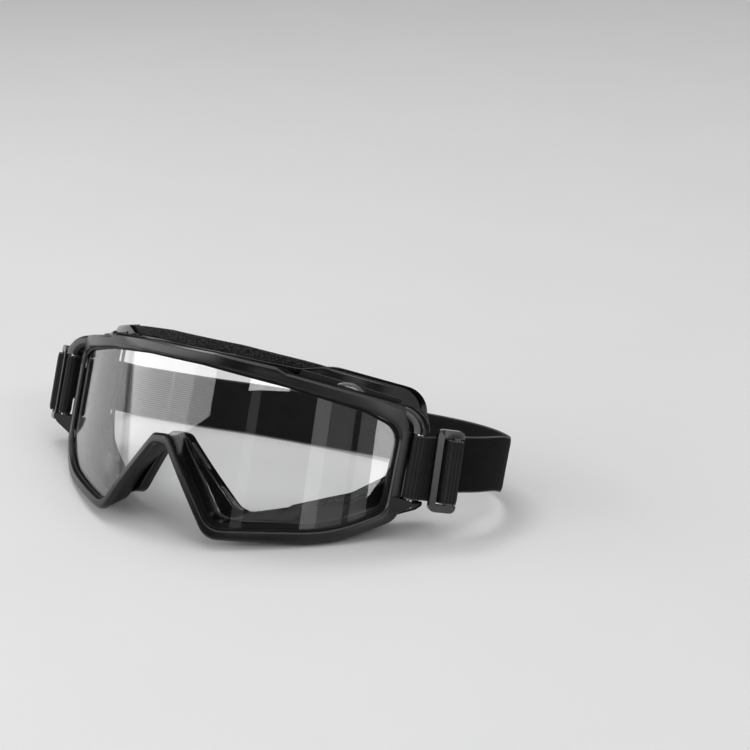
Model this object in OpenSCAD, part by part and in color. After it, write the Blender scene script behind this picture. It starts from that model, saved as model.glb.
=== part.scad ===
// Wraparound safety goggles with a vented carrier, a soft face skirt and an elastic headband.
// The front is drawn flat as rounded outlines of [s, z] and wrapped round a vertical curve of two radii.
// s is the length along that curve, z the height over the nose bridge, y runs towards the face.
// The finished goggles lean back on their lower lobes and on the headband, as they lie on a table.

/* [Front] */
// radius of the middle of the front curve
front_radius = 73; // [60:0.5:110]
// half angle of the middle arc
front_angle = 31; // [20:0.5:45]
// radius of the flatter side arcs
side_radius = 240; // [120:5:400]
// how far the bezel stands proud of the lens
bezel_proud = 2.1; // [1:0.1:4]
// depth of the bezel skirt behind the lens face
bezel_skirt = 1.3; // [0.5:0.1:3]
// how far the lens lies under the bezel's inner face
lens_seat = 0.15; // [0.05:0.01:0.3]
// thickness of the lens
lens_thickness = 2.0; // [1:0.1:4]
// how far the lens reaches under the bezel, as a share of the band
lens_reach = 0.36; // [0.2:0.02:0.6]

/* [Carrier] */
// depth of the carrier side walls
carrier_depth = 8; // [4:0.5:16]
// share of the band where the carrier wall starts
carrier_inner = 0.62; // [0.5:0.02:0.8]
// share of the band where the carrier wall ends
carrier_outer = 0.93; // [0.8:0.01:1]
// thickness of the flange that carries the gasket
flange_thickness = 1.8; // [1:0.1:4]
// thickness of the gasket
gasket_thickness = 2.2; // [1:0.1:4]
// gap left between fitted pieces
fit_gap = 0.15; // [0.05:0.01:0.3]

/* [Face side] */
// depth from the front to the face at the middle
face_depth = 25; // [18:0.5:34]
// foam thickness at the temples and cheeks
foam_thin = 5; // [3:0.5:10]
// extra foam thickness over the brow
foam_brow = 5; // [0:0.5:10]

/* [Strap anchor] */
// distance of the post from the middle plane
post_x = 98.5; // [90:0.5:110]
// distance of the post behind the lens middle
post_y = 54.3; // [45:0.5:65]
// radius of the post pin
post_radius = 1.6; // [1:0.1:3]
// running gap between post and webbing
post_gap = 0.08; // [0.02:0.01:0.1]
// radius of the anchor arm round the post
anchor_radius = 3.4; // [2.5:0.1:6]
// direction of the strap at the post, measured from the side
strap_angle = 44; // [0:0.5:60]
// how far the right strap climbs from its post, against the front
tilt_right = 2.5; // [-10:0.1:10]
// how far the left strap climbs from its post
tilt_left = -2.5; // [-10:0.1:10]
// height of the strap middle over the nose bridge
strap_z = 6.8; // [0:0.1:15]
// thickness of the upper arm where it leaves the carrier
arm_thickness = 4.6; // [3:0.1:10]
// how far the arms reach over and under their ends at the post
arm_rise = 9; // [6:0.1:14]
// height of the round boss that holds the post
boss_height = 3.2; // [2:0.1:5]
// where the anchor plate starts behind the post
anchor_start = 5.3; // [4:0.1:8]
// where the anchor plate ends behind the post
anchor_length = 10.7; // [8:0.1:16]
// play over and under the webbing between the arms
arm_play = 0.6; // [0.3:0.1:2]

/* [Webbing and slider] */
// width of the ribbed webbing
webbing_width = 28.6; // [20:0.1:40]
// thickness of the webbing
webbing_thickness = 1.3; // [0.8:0.1:2.5]
// width of the elastic headband
band_width = 25.4; // [20:0.1:40]
// thickness of the headband
band_thickness = 1.7; // [1:0.1:3]
// length of the slider along the strap
slider_length = 12.2; // [10:0.1:20]
// height of the closed bar at each end of the slider
slider_end = 3.4; // [2:0.1:6]
// thickness of the slider
slider_thickness = 3.6; // [2:0.1:6]
// width of the slider bars
slider_bar = 2.9; // [1.5:0.1:5]
// play of the webbing in the slider window, at each edge
window_play = 0.7; // [0.3:0.1:2]
// how far the slider middle sits over the strap middle
slider_rise = 0; // [0:0.1:3]
// how far the headband middle sits over the strap middle
band_rise = 3.2; // [0:0.1:5]
// distance from the post to the near edge of the slider
slider_near = 7.7; // [6:0.1:20]
// clearance between webbing and slider
slider_gap = 0.4; // [0.3:0.01:1]

/* [Rest pose] */
// how far the goggles lean back
lean = 20; // [0:0.5:30]
// height of the nose bridge over the table
lift = 43.95; // [30:0.05:60]
// sideways middle of the whole outline, which the headband shifts a little
middle_x = 0.02; // [-5:0.01:5]
// front to back middle of the whole outline
middle_y = 58.21; // [40:0.01:80]

/* [Hidden] */
$fn = 48;

arc_steps = 3;
edge_steps = [5, 1, 4, 1, 2, 3, 5, 5, 1];
top_steps = 4;

// rounded outlines, right half from the top middle to the nose, each key is [s, z, corner radius]
opening_keys = [[14, 34.7, 60], [48, 32.1, 20], [53, 31.6, 20], [88, 26.9, 40], [105, 21.3, 9],
                [104.4, -15, 8], [83, -26.8, 30], [29.9, -35.2, 7.5], [4.3, 1.2, 4]];
rim_keys = [[20, 41.1, 60], [46.5, 39.9, 5], [51.5, 38, 3], [98, 33.5, 30], [112, 31.5, 8],
            [112, -17.8, 9], [82.4, -33.9, 30], [28.7, -40.3, 8], [3.2, -3.4, 4]];
foam_outer_keys = [[20, 45.6, 60], [47, 43.9, 30], [53, 43.4, 30], [95, 39.7, 30], [107, 38.2, 11],
                   [106, -11, 12], [83, -20, 30], [29.5, -32, 8], [5, -1.5, 4]];
foam_inner_keys = [[20, 37, 50], [46, 35.6, 30], [52, 35.1, 30], [86, 31.7, 30], [97.5, 29.6, 9],
                   [98, -1, 9], [80, -13, 25], [34, -27, 7], [8, 5, 5]];

tuck_slope = tan(lean) * 1.1;
front_arc = front_radius * front_angle * PI / 180;

// plan curve of the front and its outward direction
function heading(s) = abs(s) <= front_arc ? s / front_radius * 180 / PI
    : sign(s) * (front_angle + (abs(s) - front_arc) / side_radius * 180 / PI);
function plan_x(s) = abs(s) <= front_arc ? front_radius * sin(heading(s))
    : sign(s) * (front_radius * sin(front_angle)
                 + side_radius * (sin(abs(heading(s))) - sin(front_angle)));
function plan_y(s) = abs(s) <= front_arc ? front_radius * (1 - cos(heading(s)))
    : front_radius * (1 - cos(front_angle)) + side_radius * (cos(front_angle) - cos(heading(s)));
// point on the wrapped front: b stands out of the lens face, d runs back towards the face
function place(p, b, d) = [plan_x(p[0]) + b * sin(heading(p[0])),
                           plan_y(p[0]) - b * cos(heading(p[0])) + d, p[1]];

// closed outline through mirrored keys with round corners
function unit(v) = v / norm(v);
function turned(v, a) = [v[0] * cos(a) - v[1] * sin(a), v[0] * sin(a) + v[1] * cos(a)];
function corner(p, v, q, r) =
    let (a = unit(p - v), c = unit(q - v), inside = acos(a * c),
         middle = v + unit(a + c) * r / sin(inside / 2),
         start = v + a * r / tan(inside / 2) - middle,
         turn = (180 - inside) * sign(cross(v - p, q - v)))
    [for (i = [0:arc_steps]) middle + turned(start, turn * i / arc_steps)];
function flat(k) = [k[0], k[1]];
function outline(keys) =
    let (n = len(keys),
         all = concat(keys, [for (i = [n - 1:-1:0]) [-keys[i][0], keys[i][1], keys[i][2]]]),
         m = 2 * n,
         arcs = [for (i = [0:m - 1])
                 corner(flat(all[(i + m - 1) % m]), flat(all[i]), flat(all[(i + 1) % m]), all[i][2])])
    [for (i = [0:m - 1]) let (next = arcs[(i + 1) % m], last = arcs[i][arc_steps],
                              steps = i < n ? edge_steps[i] : i == m - 1 ? top_steps
                                            : edge_steps[m - 2 - i])
        each concat(arcs[i], [for (k = [1:1:steps - 1]) last + (next[0] - last) * k / steps])];
function mixed(a, b, t) = [for (i = [0:len(a) - 1]) a[i] + (b[i] - a[i]) * t];

opening = outline(opening_keys);
rim = outline(rim_keys);
foam_outer = outline(foam_outer_keys);
foam_inner = outline(foam_inner_keys);
count = len(rim);

// the underside rises towards the face, so that it lies level when the goggles lean back
function tucked(p, depth) = [p[0], p[1] + max(0, depth) * tuck_slope * max(0, min(1, (-5 - p[1]) / 18))];
// loop of points at one share of the band between opening and rim
function band_loop(share, b, d) =
    [for (p = mixed(opening, rim, share)) place(tucked(p, d - b - bezel_skirt), b, d)];
function foam_depth(p) = foam_thin + foam_brow * max(0, min(1, (p[1] - 8) / 24))
    * max(0, cos(min(90, abs(p[0]) * 0.9)));
function foam_loop(share, back) =
    [for (p = mixed(foam_inner, foam_outer, share)) place(p, 0, face_depth - foam_depth(p) * back)];

// depth of the carrier's rear edge, and how far the skirt passes behind it
function wall_depth(p) = carrier_depth - flange_front * cos(heading(p[0]));
skirt_over = 0.9;
// the skirt's rear edge stays under the foam over the brow, so that the foam shows there
function skirt_loop(back) =
    [for (i = [0:count - 1])
        let (q = foam_outer[i], brow = (foam_depth(q) - foam_thin) / foam_brow,
             p = foam_inner[i] + (q - foam_inner[i]) * (0.97 - 0.5 * brow))
        place(p, 0, max(face_depth - foam_depth(p) * back, wall_depth(p) + skirt_over))];

// solid ring through loops that have the same number of points
module ring(loops) {
    n = len(loops[0]);
    m = len(loops);
    polyhedron([for (l = loops) each l],
               [for (j = [0:m - 1]) for (i = [0:n - 1])
                let (a = j * n + i, b = j * n + (i + 1) % n,
                     c = ((j + 1) % m) * n + (i + 1) % n, d = ((j + 1) % m) * n + i)
                each [[a, b, c], [a, c, d]]], convexity = 8);
}

// solid strip through sections, closed at both ends
module strip(sections) {
    n = len(sections[0]);
    m = len(sections);
    polyhedron([for (l = sections) each l],
               concat([for (j = [0:m - 2]) for (i = [0:n - 1])
                       let (a = j * n + i, b = j * n + (i + 1) % n,
                            c = (j + 1) * n + (i + 1) % n, d = (j + 1) * n + i)
                       each [[a, b, c], [a, c, d]]],
                      [[for (i = [n - 1:-1:0]) i], [for (i = [0:n - 1]) (m - 1) * n + i]]),
               convexity = 8);
}

// everything is modelled upright and then laid back into its rest pose
module rest() {
    translate([-middle_x, -middle_y, lift]) rotate([-lean, 0, 0]) children();
}

module front_bezel() {
    color("dimgray") rest() ring([
        band_loop(0, fit_gap, 0), band_loop(0, bezel_proud * 0.5, 0),
        band_loop(0.2, bezel_proud, 0), band_loop(0.82, bezel_proud, 0),
        band_loop(1, bezel_proud * 0.4, 0), band_loop(1, -bezel_skirt, 0),
        band_loop(0.5, -bezel_skirt, 0), band_loop(0.5, fit_gap, 0)]);
}

lens_front = -lens_seat;
lens_back = lens_front - lens_thickness;
gasket_front = lens_back - fit_gap;

// upper and lower edge of the lens as tables over s
lens_edge = mixed(opening, rim, lens_reach);
lens_half = max([for (p = lens_edge) p[0]]) - 0.05;
function side_rows(upper) = [for (p = lens_edge) if ((p[1] > 3) == upper && p[0] >= 0) p];

module lens() {
    steps = 26;
    tall = side_rows(true);
    low = [for (i = [len(side_rows(false)) - 1:-1:0]) side_rows(false)[i]];
    stations = [for (i = [-steps:steps]) lens_half * sin(90 * i / steps) * 0.35
                + lens_half * 0.65 * i / steps];
    color("lightsteelblue") rest() strip([for (s = stations)
        let (up = lookup(abs(s), tall), down = lookup(abs(s), low))
        [place([s, up], lens_front, 0), place([s, down], lens_front, 0),
         place([s, down], lens_back, 0), place([s, up], lens_back, 0)]]);
}

flange_front = gasket_front - gasket_thickness - fit_gap;
flange_back = flange_front - flange_thickness;

module lens_gasket() {
    color("black") rest() ring([
        band_loop(0.03, gasket_front, 0), band_loop(0.56, gasket_front, 0),
        band_loop(0.56, gasket_front - gasket_thickness, 0),
        band_loop(0.03, gasket_front - gasket_thickness, 0)]);
}

module frame_body() {
    color("#202224") rest() ring([
        band_loop(carrier_inner, -bezel_skirt - fit_gap, 0),
        band_loop(carrier_outer, -bezel_skirt - fit_gap, 0),
        band_loop(carrier_outer, flange_front, carrier_depth),
        band_loop(carrier_inner, flange_front, carrier_depth),
        band_loop(carrier_inner, flange_back, 0), band_loop(0.04, flange_back, 0),
        band_loop(0.04, flange_front, 0), band_loop(carrier_inner, flange_front, 0)]);
}

// louvre strip that covers the air gap in each upper corner, with a lip along its rear edge
wall_top = [for (p = mixed(opening, rim, carrier_outer)) if (p[0] > 0 && p[1] > 20) p];
vent_from = 52.5;
vent_to = 99;
vent_steps = 10;
vent_lip = 2.4;
vent_seat = 0.25;

// point over the carrier wall, share 0 at the bezel and 1 at the rear edge
function on_wall(p, share) = place(p, (bezel_skirt + fit_gap) * (share - 1) + flange_front * share,
                                   carrier_depth * share);

module vent_solid() {
    strip([for (i = [0:vent_steps])
        let (s = vent_from + (vent_to - vent_from) * i / vent_steps,
             z = lookup(s, wall_top) + vent_seat, lip = vent_lip * (1 - 0.55 * i / vent_steps))
        [for (q = [[0.02, 0], [0.02, 0.5], [0.33, 0.7], [0.45, lip], [0.62, lip], [0.7, lip * 0.6],
                   [0.7, 0]]) on_wall([s, z + q[1]], q[0])]]);
}

module vent_cover_right() {
    color("#303234") rest() vent_solid();
}

module vent_cover_left() {
    color("#303234") rest() mirror([1, 0, 0]) vent_solid();
}

foam_seat = 0.3;

module face_skirt() {
    color("#101112") rest() ring([
        band_loop(0.58, flange_back - fit_gap, 0.2),
        band_loop(0.58, flange_front, carrier_depth + 0.4),
        skirt_loop(1.32), [for (p = skirt_loop(1)) p - [0, foam_seat, 0]],
        [for (p = foam_loop(0.02, 1)) p - [0, foam_seat, 0]],
        foam_loop(0.02, 1.3),
        band_loop(0.30, flange_front, carrier_depth),
        band_loop(0.30, flange_back - fit_gap, 0.2)]);
}

module face_foam() {
    color("#4a4c4e") rest() ring([
        foam_loop(0, 1), foam_loop(1, 1), foam_loop(1.03, 0.55), foam_loop(0.92, 0.08),
        foam_loop(0.7, 0), foam_loop(0.3, 0), foam_loop(0.06, 0.1), foam_loop(-0.04, 0.5)]);
}

// strap side, drawn in a frame with x along the strap, y towards the face and z up, the post at zero
strap_low = strap_z - webbing_width / 2;
strap_high = strap_z + webbing_width / 2;
arm_low = strap_low - arm_play;
arm_high = strap_high + arm_play;
side_s = max([for (p = mixed(opening, rim, carrier_outer)) p[0]]);
wall_front = place([side_s, 0], -bezel_skirt - fit_gap, 0);
wall_back = place([side_s, 0], flange_front, carrier_depth);
function wall_at(y) = wall_front[0] + fit_gap
    + (wall_back[0] - wall_front[0]) * (y - wall_front[1]) / (wall_back[1] - wall_front[1]);
anchor_back = post_y + anchor_length;
anchor_front = post_y + anchor_start;
anchor_plate = 1.9;
pin_seat = 0.05;
pin_low = arm_low - boss_height;
pin_high = arm_high + boss_height - pin_seat;
root_y = anchor_back - 1;
root_x = wall_at(root_y);
arm_angle = atan2(post_y - root_y, post_x - root_x);
arm_length = norm([post_x - root_x, post_y - root_y]);
arm_tip = arm_length + anchor_radius;
arm_root = 1;
arm_front = anchor_radius * 0.65;
boss_radius = anchor_radius - 0.25;
plate_root = 0.6;
boss_sink = 0.3;

module at_post() {
    rest() translate([post_x, post_y, 0]) rotate([0, 0, strap_angle]) children();
}

module at_left_post() {
    rest() mirror([1, 0, 0]) translate([post_x, post_y, 0]) rotate([0, 0, strap_angle]) children();
}

// frame with x from the carrier wall to the post and z up
module arm_plane() {
    translate([root_x, root_y, 0]) rotate([0, 0, arm_angle]) translate([0, anchor_radius, 0])
        rotate([90, 0, 0]) linear_extrude(anchor_radius + arm_front) children();
}

// hooked upper arm: an outer and an inner quarter curve from the wall down to the post
module upper_arm() {
    arm_plane() polygon(concat(
        [for (a = [0:7.5:90]) [-arm_root + (arm_tip + arm_root) * sin(a),
                               arm_high + arm_rise * cos(a)]],
        [for (a = [90:-7.5:0]) [-arm_root + (arm_tip + arm_root - 2 * anchor_radius) * sin(a),
                                arm_high + (arm_rise - arm_thickness) * cos(a)]]));
    translate([post_x, post_y, arm_high + boss_sink])
        cylinder(r = boss_radius, h = boss_height - boss_sink);
}

// three-cornered lower arm
module lower_arm() {
    arm_plane() polygon([
        [-arm_root, arm_low], [arm_tip - 0.8, arm_low], [arm_tip - 0.8, arm_low - 1.4],
        [-arm_root, arm_low - arm_rise]]);
    translate([post_x, post_y, arm_low - boss_height])
        cylinder(r = boss_radius, h = boss_height - boss_sink);
}

module anchor_solid() {
    difference() {
        union() {
            upper_arm();
            lower_arm();
            translate([0, 0, arm_low - boss_height])
                linear_extrude(arm_high - arm_low + boss_height + arm_rise - 1)
                polygon([[wall_at(anchor_front) - plate_root, anchor_front],
                         [wall_at(anchor_front) + anchor_plate, anchor_front + 0.6],
                         [wall_at(anchor_back) + anchor_plate, anchor_back],
                         [wall_at(anchor_back) - plate_root, anchor_back]]);
        }
        // room for the carrier wall
        translate([0, 0, arm_low - 2 * arm_rise])
            linear_extrude(arm_high - arm_low + 4 * arm_rise)
            polygon([[wall_at(0), 0], [wall_at(2 * anchor_back), 2 * anchor_back],
                     [0, 2 * anchor_back], [0, 0]]);
        translate([post_x, post_y, arm_low - 2 * arm_rise])
            cylinder(r = post_radius + pin_seat, h = pin_high + fit_gap - arm_low + 2 * arm_rise);
    }
}

module strap_anchor_right() {
    color("#26282a") rest() anchor_solid();
}

module strap_anchor_left() {
    color("#26282a") rest() mirror([1, 0, 0]) anchor_solid();
}

module pin_solid() {
    translate([post_x, post_y, pin_low]) cylinder(r = post_radius, h = pin_high - pin_low);
}

module post_pin_right() {
    color("silver") rest() pin_solid();
}

module post_pin_left() {
    color("silver") rest() mirror([1, 0, 0]) pin_solid();
}

// ribbon of even thickness along a plan path
function side_of(p, i) = let (a = p[max(0, i - 1)], b = p[min(len(p) - 1, i + 1)], t = unit(b - a))
    [-t[1], t[0]];
function swing(c, r, from, to, n) = [for (i = [0:n]) let (a = from + (to - from) * i / n)
                                     c + r * [cos(a), sin(a)]];

// layers of the webbing through the slider, y is negative on the outer side
half = webbing_thickness / 2;
slider_front = -slider_thickness - 0.2;
slider_back = -0.2;
under = slider_back + slider_gap + half;
over = slider_front - slider_gap - half;
fold_room = webbing_thickness + slider_gap;
far_bar = slider_near + slider_length - fold_room;
main_y = under + half + slider_gap + band_thickness / 2;
loop_mid = post_radius + post_gap + half;
fold_r = half + slider_gap;

// the webbing leaves the post square and turns with the slider from there
function climb(u, tilt) = tan(tilt) * max(0, u - loop_mid);
function turn_in(u, tilt) = webbing_width / 2 * sin(tilt)
    * max(0, min(1, (u - loop_mid) / (slider_near - loop_mid)));

module loop_solid(tilt) {
    path = concat(
        [[far_bar - 2, main_y], [slider_near + 2, main_y], [slider_near - 1.5, main_y - 0.05],
         [3, loop_mid], [1, loop_mid - 0.05]],
        swing([0, 0], loop_mid - 0.05, 90, 270, 12),
        [[1.6, 0.15 - loop_mid], [slider_near - 2.6, under - 0.35], [slider_near - 1.2, under],
         [slider_near + slider_bar + 0.4, under], [far_bar - slider_bar - 1.5, over + 0.5],
         [far_bar - slider_bar - 0.4, over]],
        swing([far_bar, over + fold_r], fold_r, -90, 0, 4),
        swing([far_bar, under - fold_r], fold_r, 0, 90, 4),
        [[slider_near + slider_bar + 3.8, under]]);
    difference() {
        strip([for (i = [0:len(path) - 1])
            let (q = path[i], n = side_of(path, i) * half, low = strap_low + climb(q[0], tilt),
                 high = strap_high + climb(q[0], tilt), k = turn_in(q[0], tilt))
            [[q[0] + n[0] + k, q[1] + n[1], low], [q[0] + n[0] - k, q[1] + n[1], high],
             [q[0] - n[0] - k, q[1] - n[1], high], [q[0] - n[0] + k, q[1] - n[1], low]]]);
        translate([0, 0, strap_low - 1])
            cylinder(r = post_radius + post_gap, h = webbing_width + 2);
    }
}

module strap_loop_right() {
    color("#2b2d2f") at_post() loop_solid(tilt_right);
}

module strap_loop_left() {
    color("#2b2d2f") at_left_post() loop_solid(tilt_left);
}

slider_window = webbing_width + 2 * window_play;
slider_height = slider_window + 2 * slider_end;

module rounded(w, h, r) {
    square([w - 2 * r, h], center = true);
    square([w, h - 2 * r], center = true);
    for (x = [-1, 1], y = [-1, 1]) translate([x * (w / 2 - r), y * (h / 2 - r)]) circle(r = r);
}

// frame of two bars, the far bar stands back so that the webbing folds round it inside the outline
module slider_solid(tilt) {
    window_length = far_bar - slider_near - 2 * slider_bar;
    translate([0, 0, strap_z]) rotate([0, -tilt, 0])
        translate([slider_near + slider_length / 2, slider_back, slider_rise]) rotate([90, 0, 0])
        linear_extrude(slider_thickness) difference() {
            rounded(slider_length, slider_height, 3);
            translate([-slider_length / 2 + slider_bar + window_length / 2, 0])
                rounded(window_length, slider_window, 1);
            translate([slider_length / 2, 0]) rounded(2 * fold_room, slider_window, 0.6);
        }
}

module slider_right() {
    color("#1b1c1e") at_post() slider_solid(tilt_right);
}

module slider_left() {
    color("#1b1c1e") at_left_post() slider_solid(tilt_left);
}

// route of the headband from the right slider round the back to the left, as [x, y, height]
// in the upright plan, the height is that of the lower edge over the table
function on_strap(u, v) = [post_x, post_y] + turned([u, v], strap_angle);
function over_table(p, z) = [p[0], p[1], z * cos(lean) - p[1] * sin(lean) + lift];
band_lap = 0.8;
band_free = 3.5;
function band_from(tilt) = strap_z + band_rise - band_width / 2 + far_bar * sin(tilt);
function band_in(tilt) = over_table(on_strap(far_bar - band_lap, main_y + 0.1), band_from(tilt));
function band_out(tilt) = over_table(on_strap(far_bar + band_free, main_y + 0.3),
                                     band_from(tilt) + band_free * sin(tilt));
function mirrored(p) = [-p[0], p[1], p[2]];
band_keys = [band_in(tilt_right), band_out(tilt_right),
             [117.5, 80, 16.1], [119.5, 92, 12.9], [117.5, 104, 8], [111, 113.5, 5], [100, 119.5, 3.8],
             [84, 122.5, 3.2], [60, 123.5, 2.4], [30, 124, 1.2], [0, 122.5, 0.3], [-30, 119, 0],
             [-60, 114, 0], [-88, 110.5, 0], [-106, 107.5, 1], [-115, 101, 4], [-119.4, 91, 9],
             [-117.4, 80, 14.5],
             mirrored(band_out(tilt_left)), mirrored(band_in(tilt_left))];
function bend(a, b, c, d, t) = 0.5 * ((2 * b) + (c - a) * t + (2 * a - 5 * b + 4 * c - d) * t * t
                                      + (3 * b - a - 3 * c + d) * t * t * t);
band_steps = 5;
band_route = let (n = len(band_keys))
    concat([for (i = [0:n - 2]) for (k = [0:band_steps - 1])
            bend(i == 0 ? 2 * band_keys[0] - band_keys[1] : band_keys[i - 1], band_keys[i],
                 band_keys[i + 1],
                 i == n - 2 ? 2 * band_keys[n - 1] - band_keys[n - 2] : band_keys[i + 2],
                 k / band_steps)],
           [band_keys[n - 1]]);
band_plan = [for (p = band_route) flat(p)];
// the outer edge of the leaning band is a little lower than its middle
band_touch = band_thickness / 2 * sin(lean) + 0.02;
function band_low(p) = (p[1] * sin(lean) - lift + max(band_touch, p[2])) / cos(lean);

module headband() {
    color("#232527") rest() strip([for (i = [0:len(band_route) - 1])
        let (p = band_route[i], n = side_of(band_plan, i) * band_thickness / 2,
             low = band_low(p), high = low + band_width)
        [[p[0] + n[0], p[1] + n[1], low], [p[0] + n[0], p[1] + n[1], high],
         [p[0] - n[0], p[1] - n[1], high], [p[0] - n[0], p[1] - n[1], low]]]);
}

front_bezel();
lens();
lens_gasket();
frame_body();
vent_cover_left();
vent_cover_right();
face_skirt();
face_foam();
strap_anchor_left();
strap_anchor_right();
post_pin_left();
post_pin_right();
strap_loop_left();
strap_loop_right();
slider_left();
slider_right();
headband();
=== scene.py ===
"""Looks of a pair of wraparound safety goggles that lie on a table with their elastic headband.

The front is drawn flat as rounded outlines of (s, z), in millimetres, and wrapped round a vertical curve of
two radii. s is the length along that curve, z the height over the nose bridge and y runs towards the face.
RestPose lays that upright drawing back on the table, in metres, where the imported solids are.
"""

import logging
from dataclasses import dataclass, field
from enum import Enum
from typing import Callable, Optional, Sequence, Union

import bpy
import numpy as np
from mathutils import Matrix


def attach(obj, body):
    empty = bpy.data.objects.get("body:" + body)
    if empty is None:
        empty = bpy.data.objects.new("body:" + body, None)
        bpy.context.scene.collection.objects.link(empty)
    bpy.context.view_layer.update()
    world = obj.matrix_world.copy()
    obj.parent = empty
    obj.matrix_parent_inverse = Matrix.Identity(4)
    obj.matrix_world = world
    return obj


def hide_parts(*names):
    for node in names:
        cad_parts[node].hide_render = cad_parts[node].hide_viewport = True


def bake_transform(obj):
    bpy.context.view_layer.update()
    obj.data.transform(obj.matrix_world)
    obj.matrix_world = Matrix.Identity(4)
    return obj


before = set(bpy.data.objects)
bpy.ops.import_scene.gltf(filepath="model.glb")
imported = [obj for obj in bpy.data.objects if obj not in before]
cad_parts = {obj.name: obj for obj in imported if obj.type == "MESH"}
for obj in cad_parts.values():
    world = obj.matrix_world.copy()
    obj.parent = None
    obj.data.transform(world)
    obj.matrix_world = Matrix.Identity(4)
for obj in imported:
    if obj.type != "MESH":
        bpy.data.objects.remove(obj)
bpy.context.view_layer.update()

log = logging.getLogger("goggles")
MM = 0.001
Array = np.ndarray
Colour = tuple[float, float, float]
Socket = Union[bpy.types.NodeSocket, float]


# Lines and curves of the drawing


@dataclass(frozen=True)
class RestPose:
    """How the upright drawing lies on the table."""

    lean: float = 20.0
    lift: float = 43.95
    middle_x: float = 0.02
    middle_y: float = 58.21

    def to_row(self, points: Array) -> Array:
        """Leans the points back about the x axis, lifts them and turns millimetres into metres.

        Args:
            points: upright points, the last axis is x, y, z in millimetres.

        Returns:
            The same points in the row frame, in metres.
        """
        c, s = np.cos(np.radians(self.lean)), np.sin(np.radians(self.lean))
        x, y, z = points[..., 0], points[..., 1], points[..., 2]
        return MM * np.stack((x - self.middle_x, y * c + z * s - self.middle_y,
                              z * c - y * s + self.lift), -1)


@dataclass(frozen=True)
class FrontCurve:
    """Plan curve of the front: a middle arc and two flatter side arcs."""

    radius: float = 73.0
    angle: float = 31.0
    side_radius: float = 240.0

    def heading(self, s: Array) -> Array:
        """Angle of the outward direction at length s: s over the radius of the arc it lies on."""
        a = np.radians(self.angle)
        arc = self.radius * a
        return np.where(np.abs(s) <= arc, s / self.radius,
                        np.sign(s) * (a + (np.abs(s) - arc) / self.side_radius))

    def place(self, flat: Array, out: float, back: Union[float, Array]) -> Array:
        """Wraps flat points round the curve, stands them out of it and moves them back.

        Args:
            flat: points of (s, z).
            out: distance out of the lens face.
            back: distance back towards the face, one number or one for each point.

        Returns:
            Points of (x, y, z) in the upright drawing.
        """
        s, z = flat[..., 0], flat[..., 1]
        a, h = np.radians(self.angle), self.heading(s)
        inner = np.abs(s) <= self.radius * a
        x = np.where(inner, self.radius * np.sin(h),
                     np.sign(s) * (self.radius * np.sin(a)
                                   + self.side_radius * (np.sin(np.abs(h)) - np.sin(a))))
        y = np.where(inner, self.radius * (1 - np.cos(h)),
                     self.radius * (1 - np.cos(a)) + self.side_radius * (np.cos(a) - np.cos(h)))
        return np.stack((x + out * np.sin(h), y - out * np.cos(h) + back, z), -1)


@dataclass(frozen=True)
class Outline:
    """Closed outline with round corners, given by the keys (s, z, radius) of its right half."""

    keys: tuple[tuple[float, float, float], ...]
    fine: int = 4
    edge_steps: tuple[int, ...] = (5, 1, 4, 1, 2, 3, 5, 5, 1)
    top_steps: int = 4
    arc_steps: int = 3

    def points(self) -> Array:
        """Mirrors the keys, rounds each corner with an arc and divides the straight edges evenly.

        Returns:
            Array of (s, z), the same number of points for every outline.
        """
        half = np.array(self.keys, float)
        keys = np.vstack((half, half[::-1] * (-1, 1, 1)))
        n, total = len(half), 2 * len(half)
        arcs = [self._corner(keys[i - 1], keys[i], keys[(i + 1) % total]) for i in range(total)]
        parts: list[Array] = []
        for i, arc in enumerate(arcs):
            plain = (self.edge_steps[i] if i < n else self.top_steps if i == total - 1
                     else self.edge_steps[total - 2 - i])
            steps = plain * self.fine
            share = np.arange(1, steps)[:, None] / steps
            parts += [arc, arc[-1] + (arcs[(i + 1) % total][0] - arc[-1]) * share]
        return np.vstack(parts)

    def _corner(self, before: Array, key: Array, after: Array) -> Array:
        """Arc that touches both edges of one corner.

        Args:
            before: key before the corner.
            key: key of the corner, with its radius.
            after: key after the corner.

        Returns:
            Points of the arc from the first edge to the second.
        """
        p, v, q, r = before[:2], key[:2], after[:2], key[2]
        a, c = (p - v) / np.linalg.norm(p - v), (q - v) / np.linalg.norm(q - v)
        inside = np.arccos(a @ c)
        middle = v + (a + c) / np.linalg.norm(a + c) * r / np.sin(inside / 2)
        start = v + a * r / np.tan(inside / 2) - middle
        sense = np.sign((v - p)[0] * (q - v)[1] - (v - p)[1] * (q - v)[0])
        steps = self.arc_steps * self.fine
        t = sense * (np.pi - inside) * np.arange(steps + 1) / steps
        return middle + np.stack((start[0] * np.cos(t) - start[1] * np.sin(t),
                                  start[0] * np.sin(t) + start[1] * np.cos(t)), -1)


def soften(loops: Sequence[Array], radii: Sequence[float], steps: int = 4) -> Array:
    """Rounds the corners of a profile that is carried along a path.

    Each loop stands for one corner of the profile. Where its radius is over zero it becomes a curve of
    second degree from one side of the corner to the other, (1-t)^2 A + 2t(1-t) P + t^2 B, for all points of
    the path at once.

    Args:
        loops: one array of points for each corner, all of the same length.
        radii: how far each corner is cut back, in the units of the points.
        steps: parts of each rounded corner.

    Returns:
        Array of loops by points by 3.
    """
    out: list[Array] = []
    count = len(loops)
    for i, (loop, radius) in enumerate(zip(loops, radii)):
        if radius <= 0:
            out.append(loop)
            continue
        ends = []
        for other in (loops[i - 1], loops[(i + 1) % count]):
            way = other - loop
            size = np.linalg.norm(way, axis=-1, keepdims=True)
            ends.append(loop + way / np.maximum(size, 1e-9) * np.minimum(radius, 0.48 * size))
        for t in np.linspace(0, 1, steps + 1):
            out.append((1 - t) ** 2 * ends[0] + 2 * t * (1 - t) * loop + t * t * ends[1])
    return np.stack(out)


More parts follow.
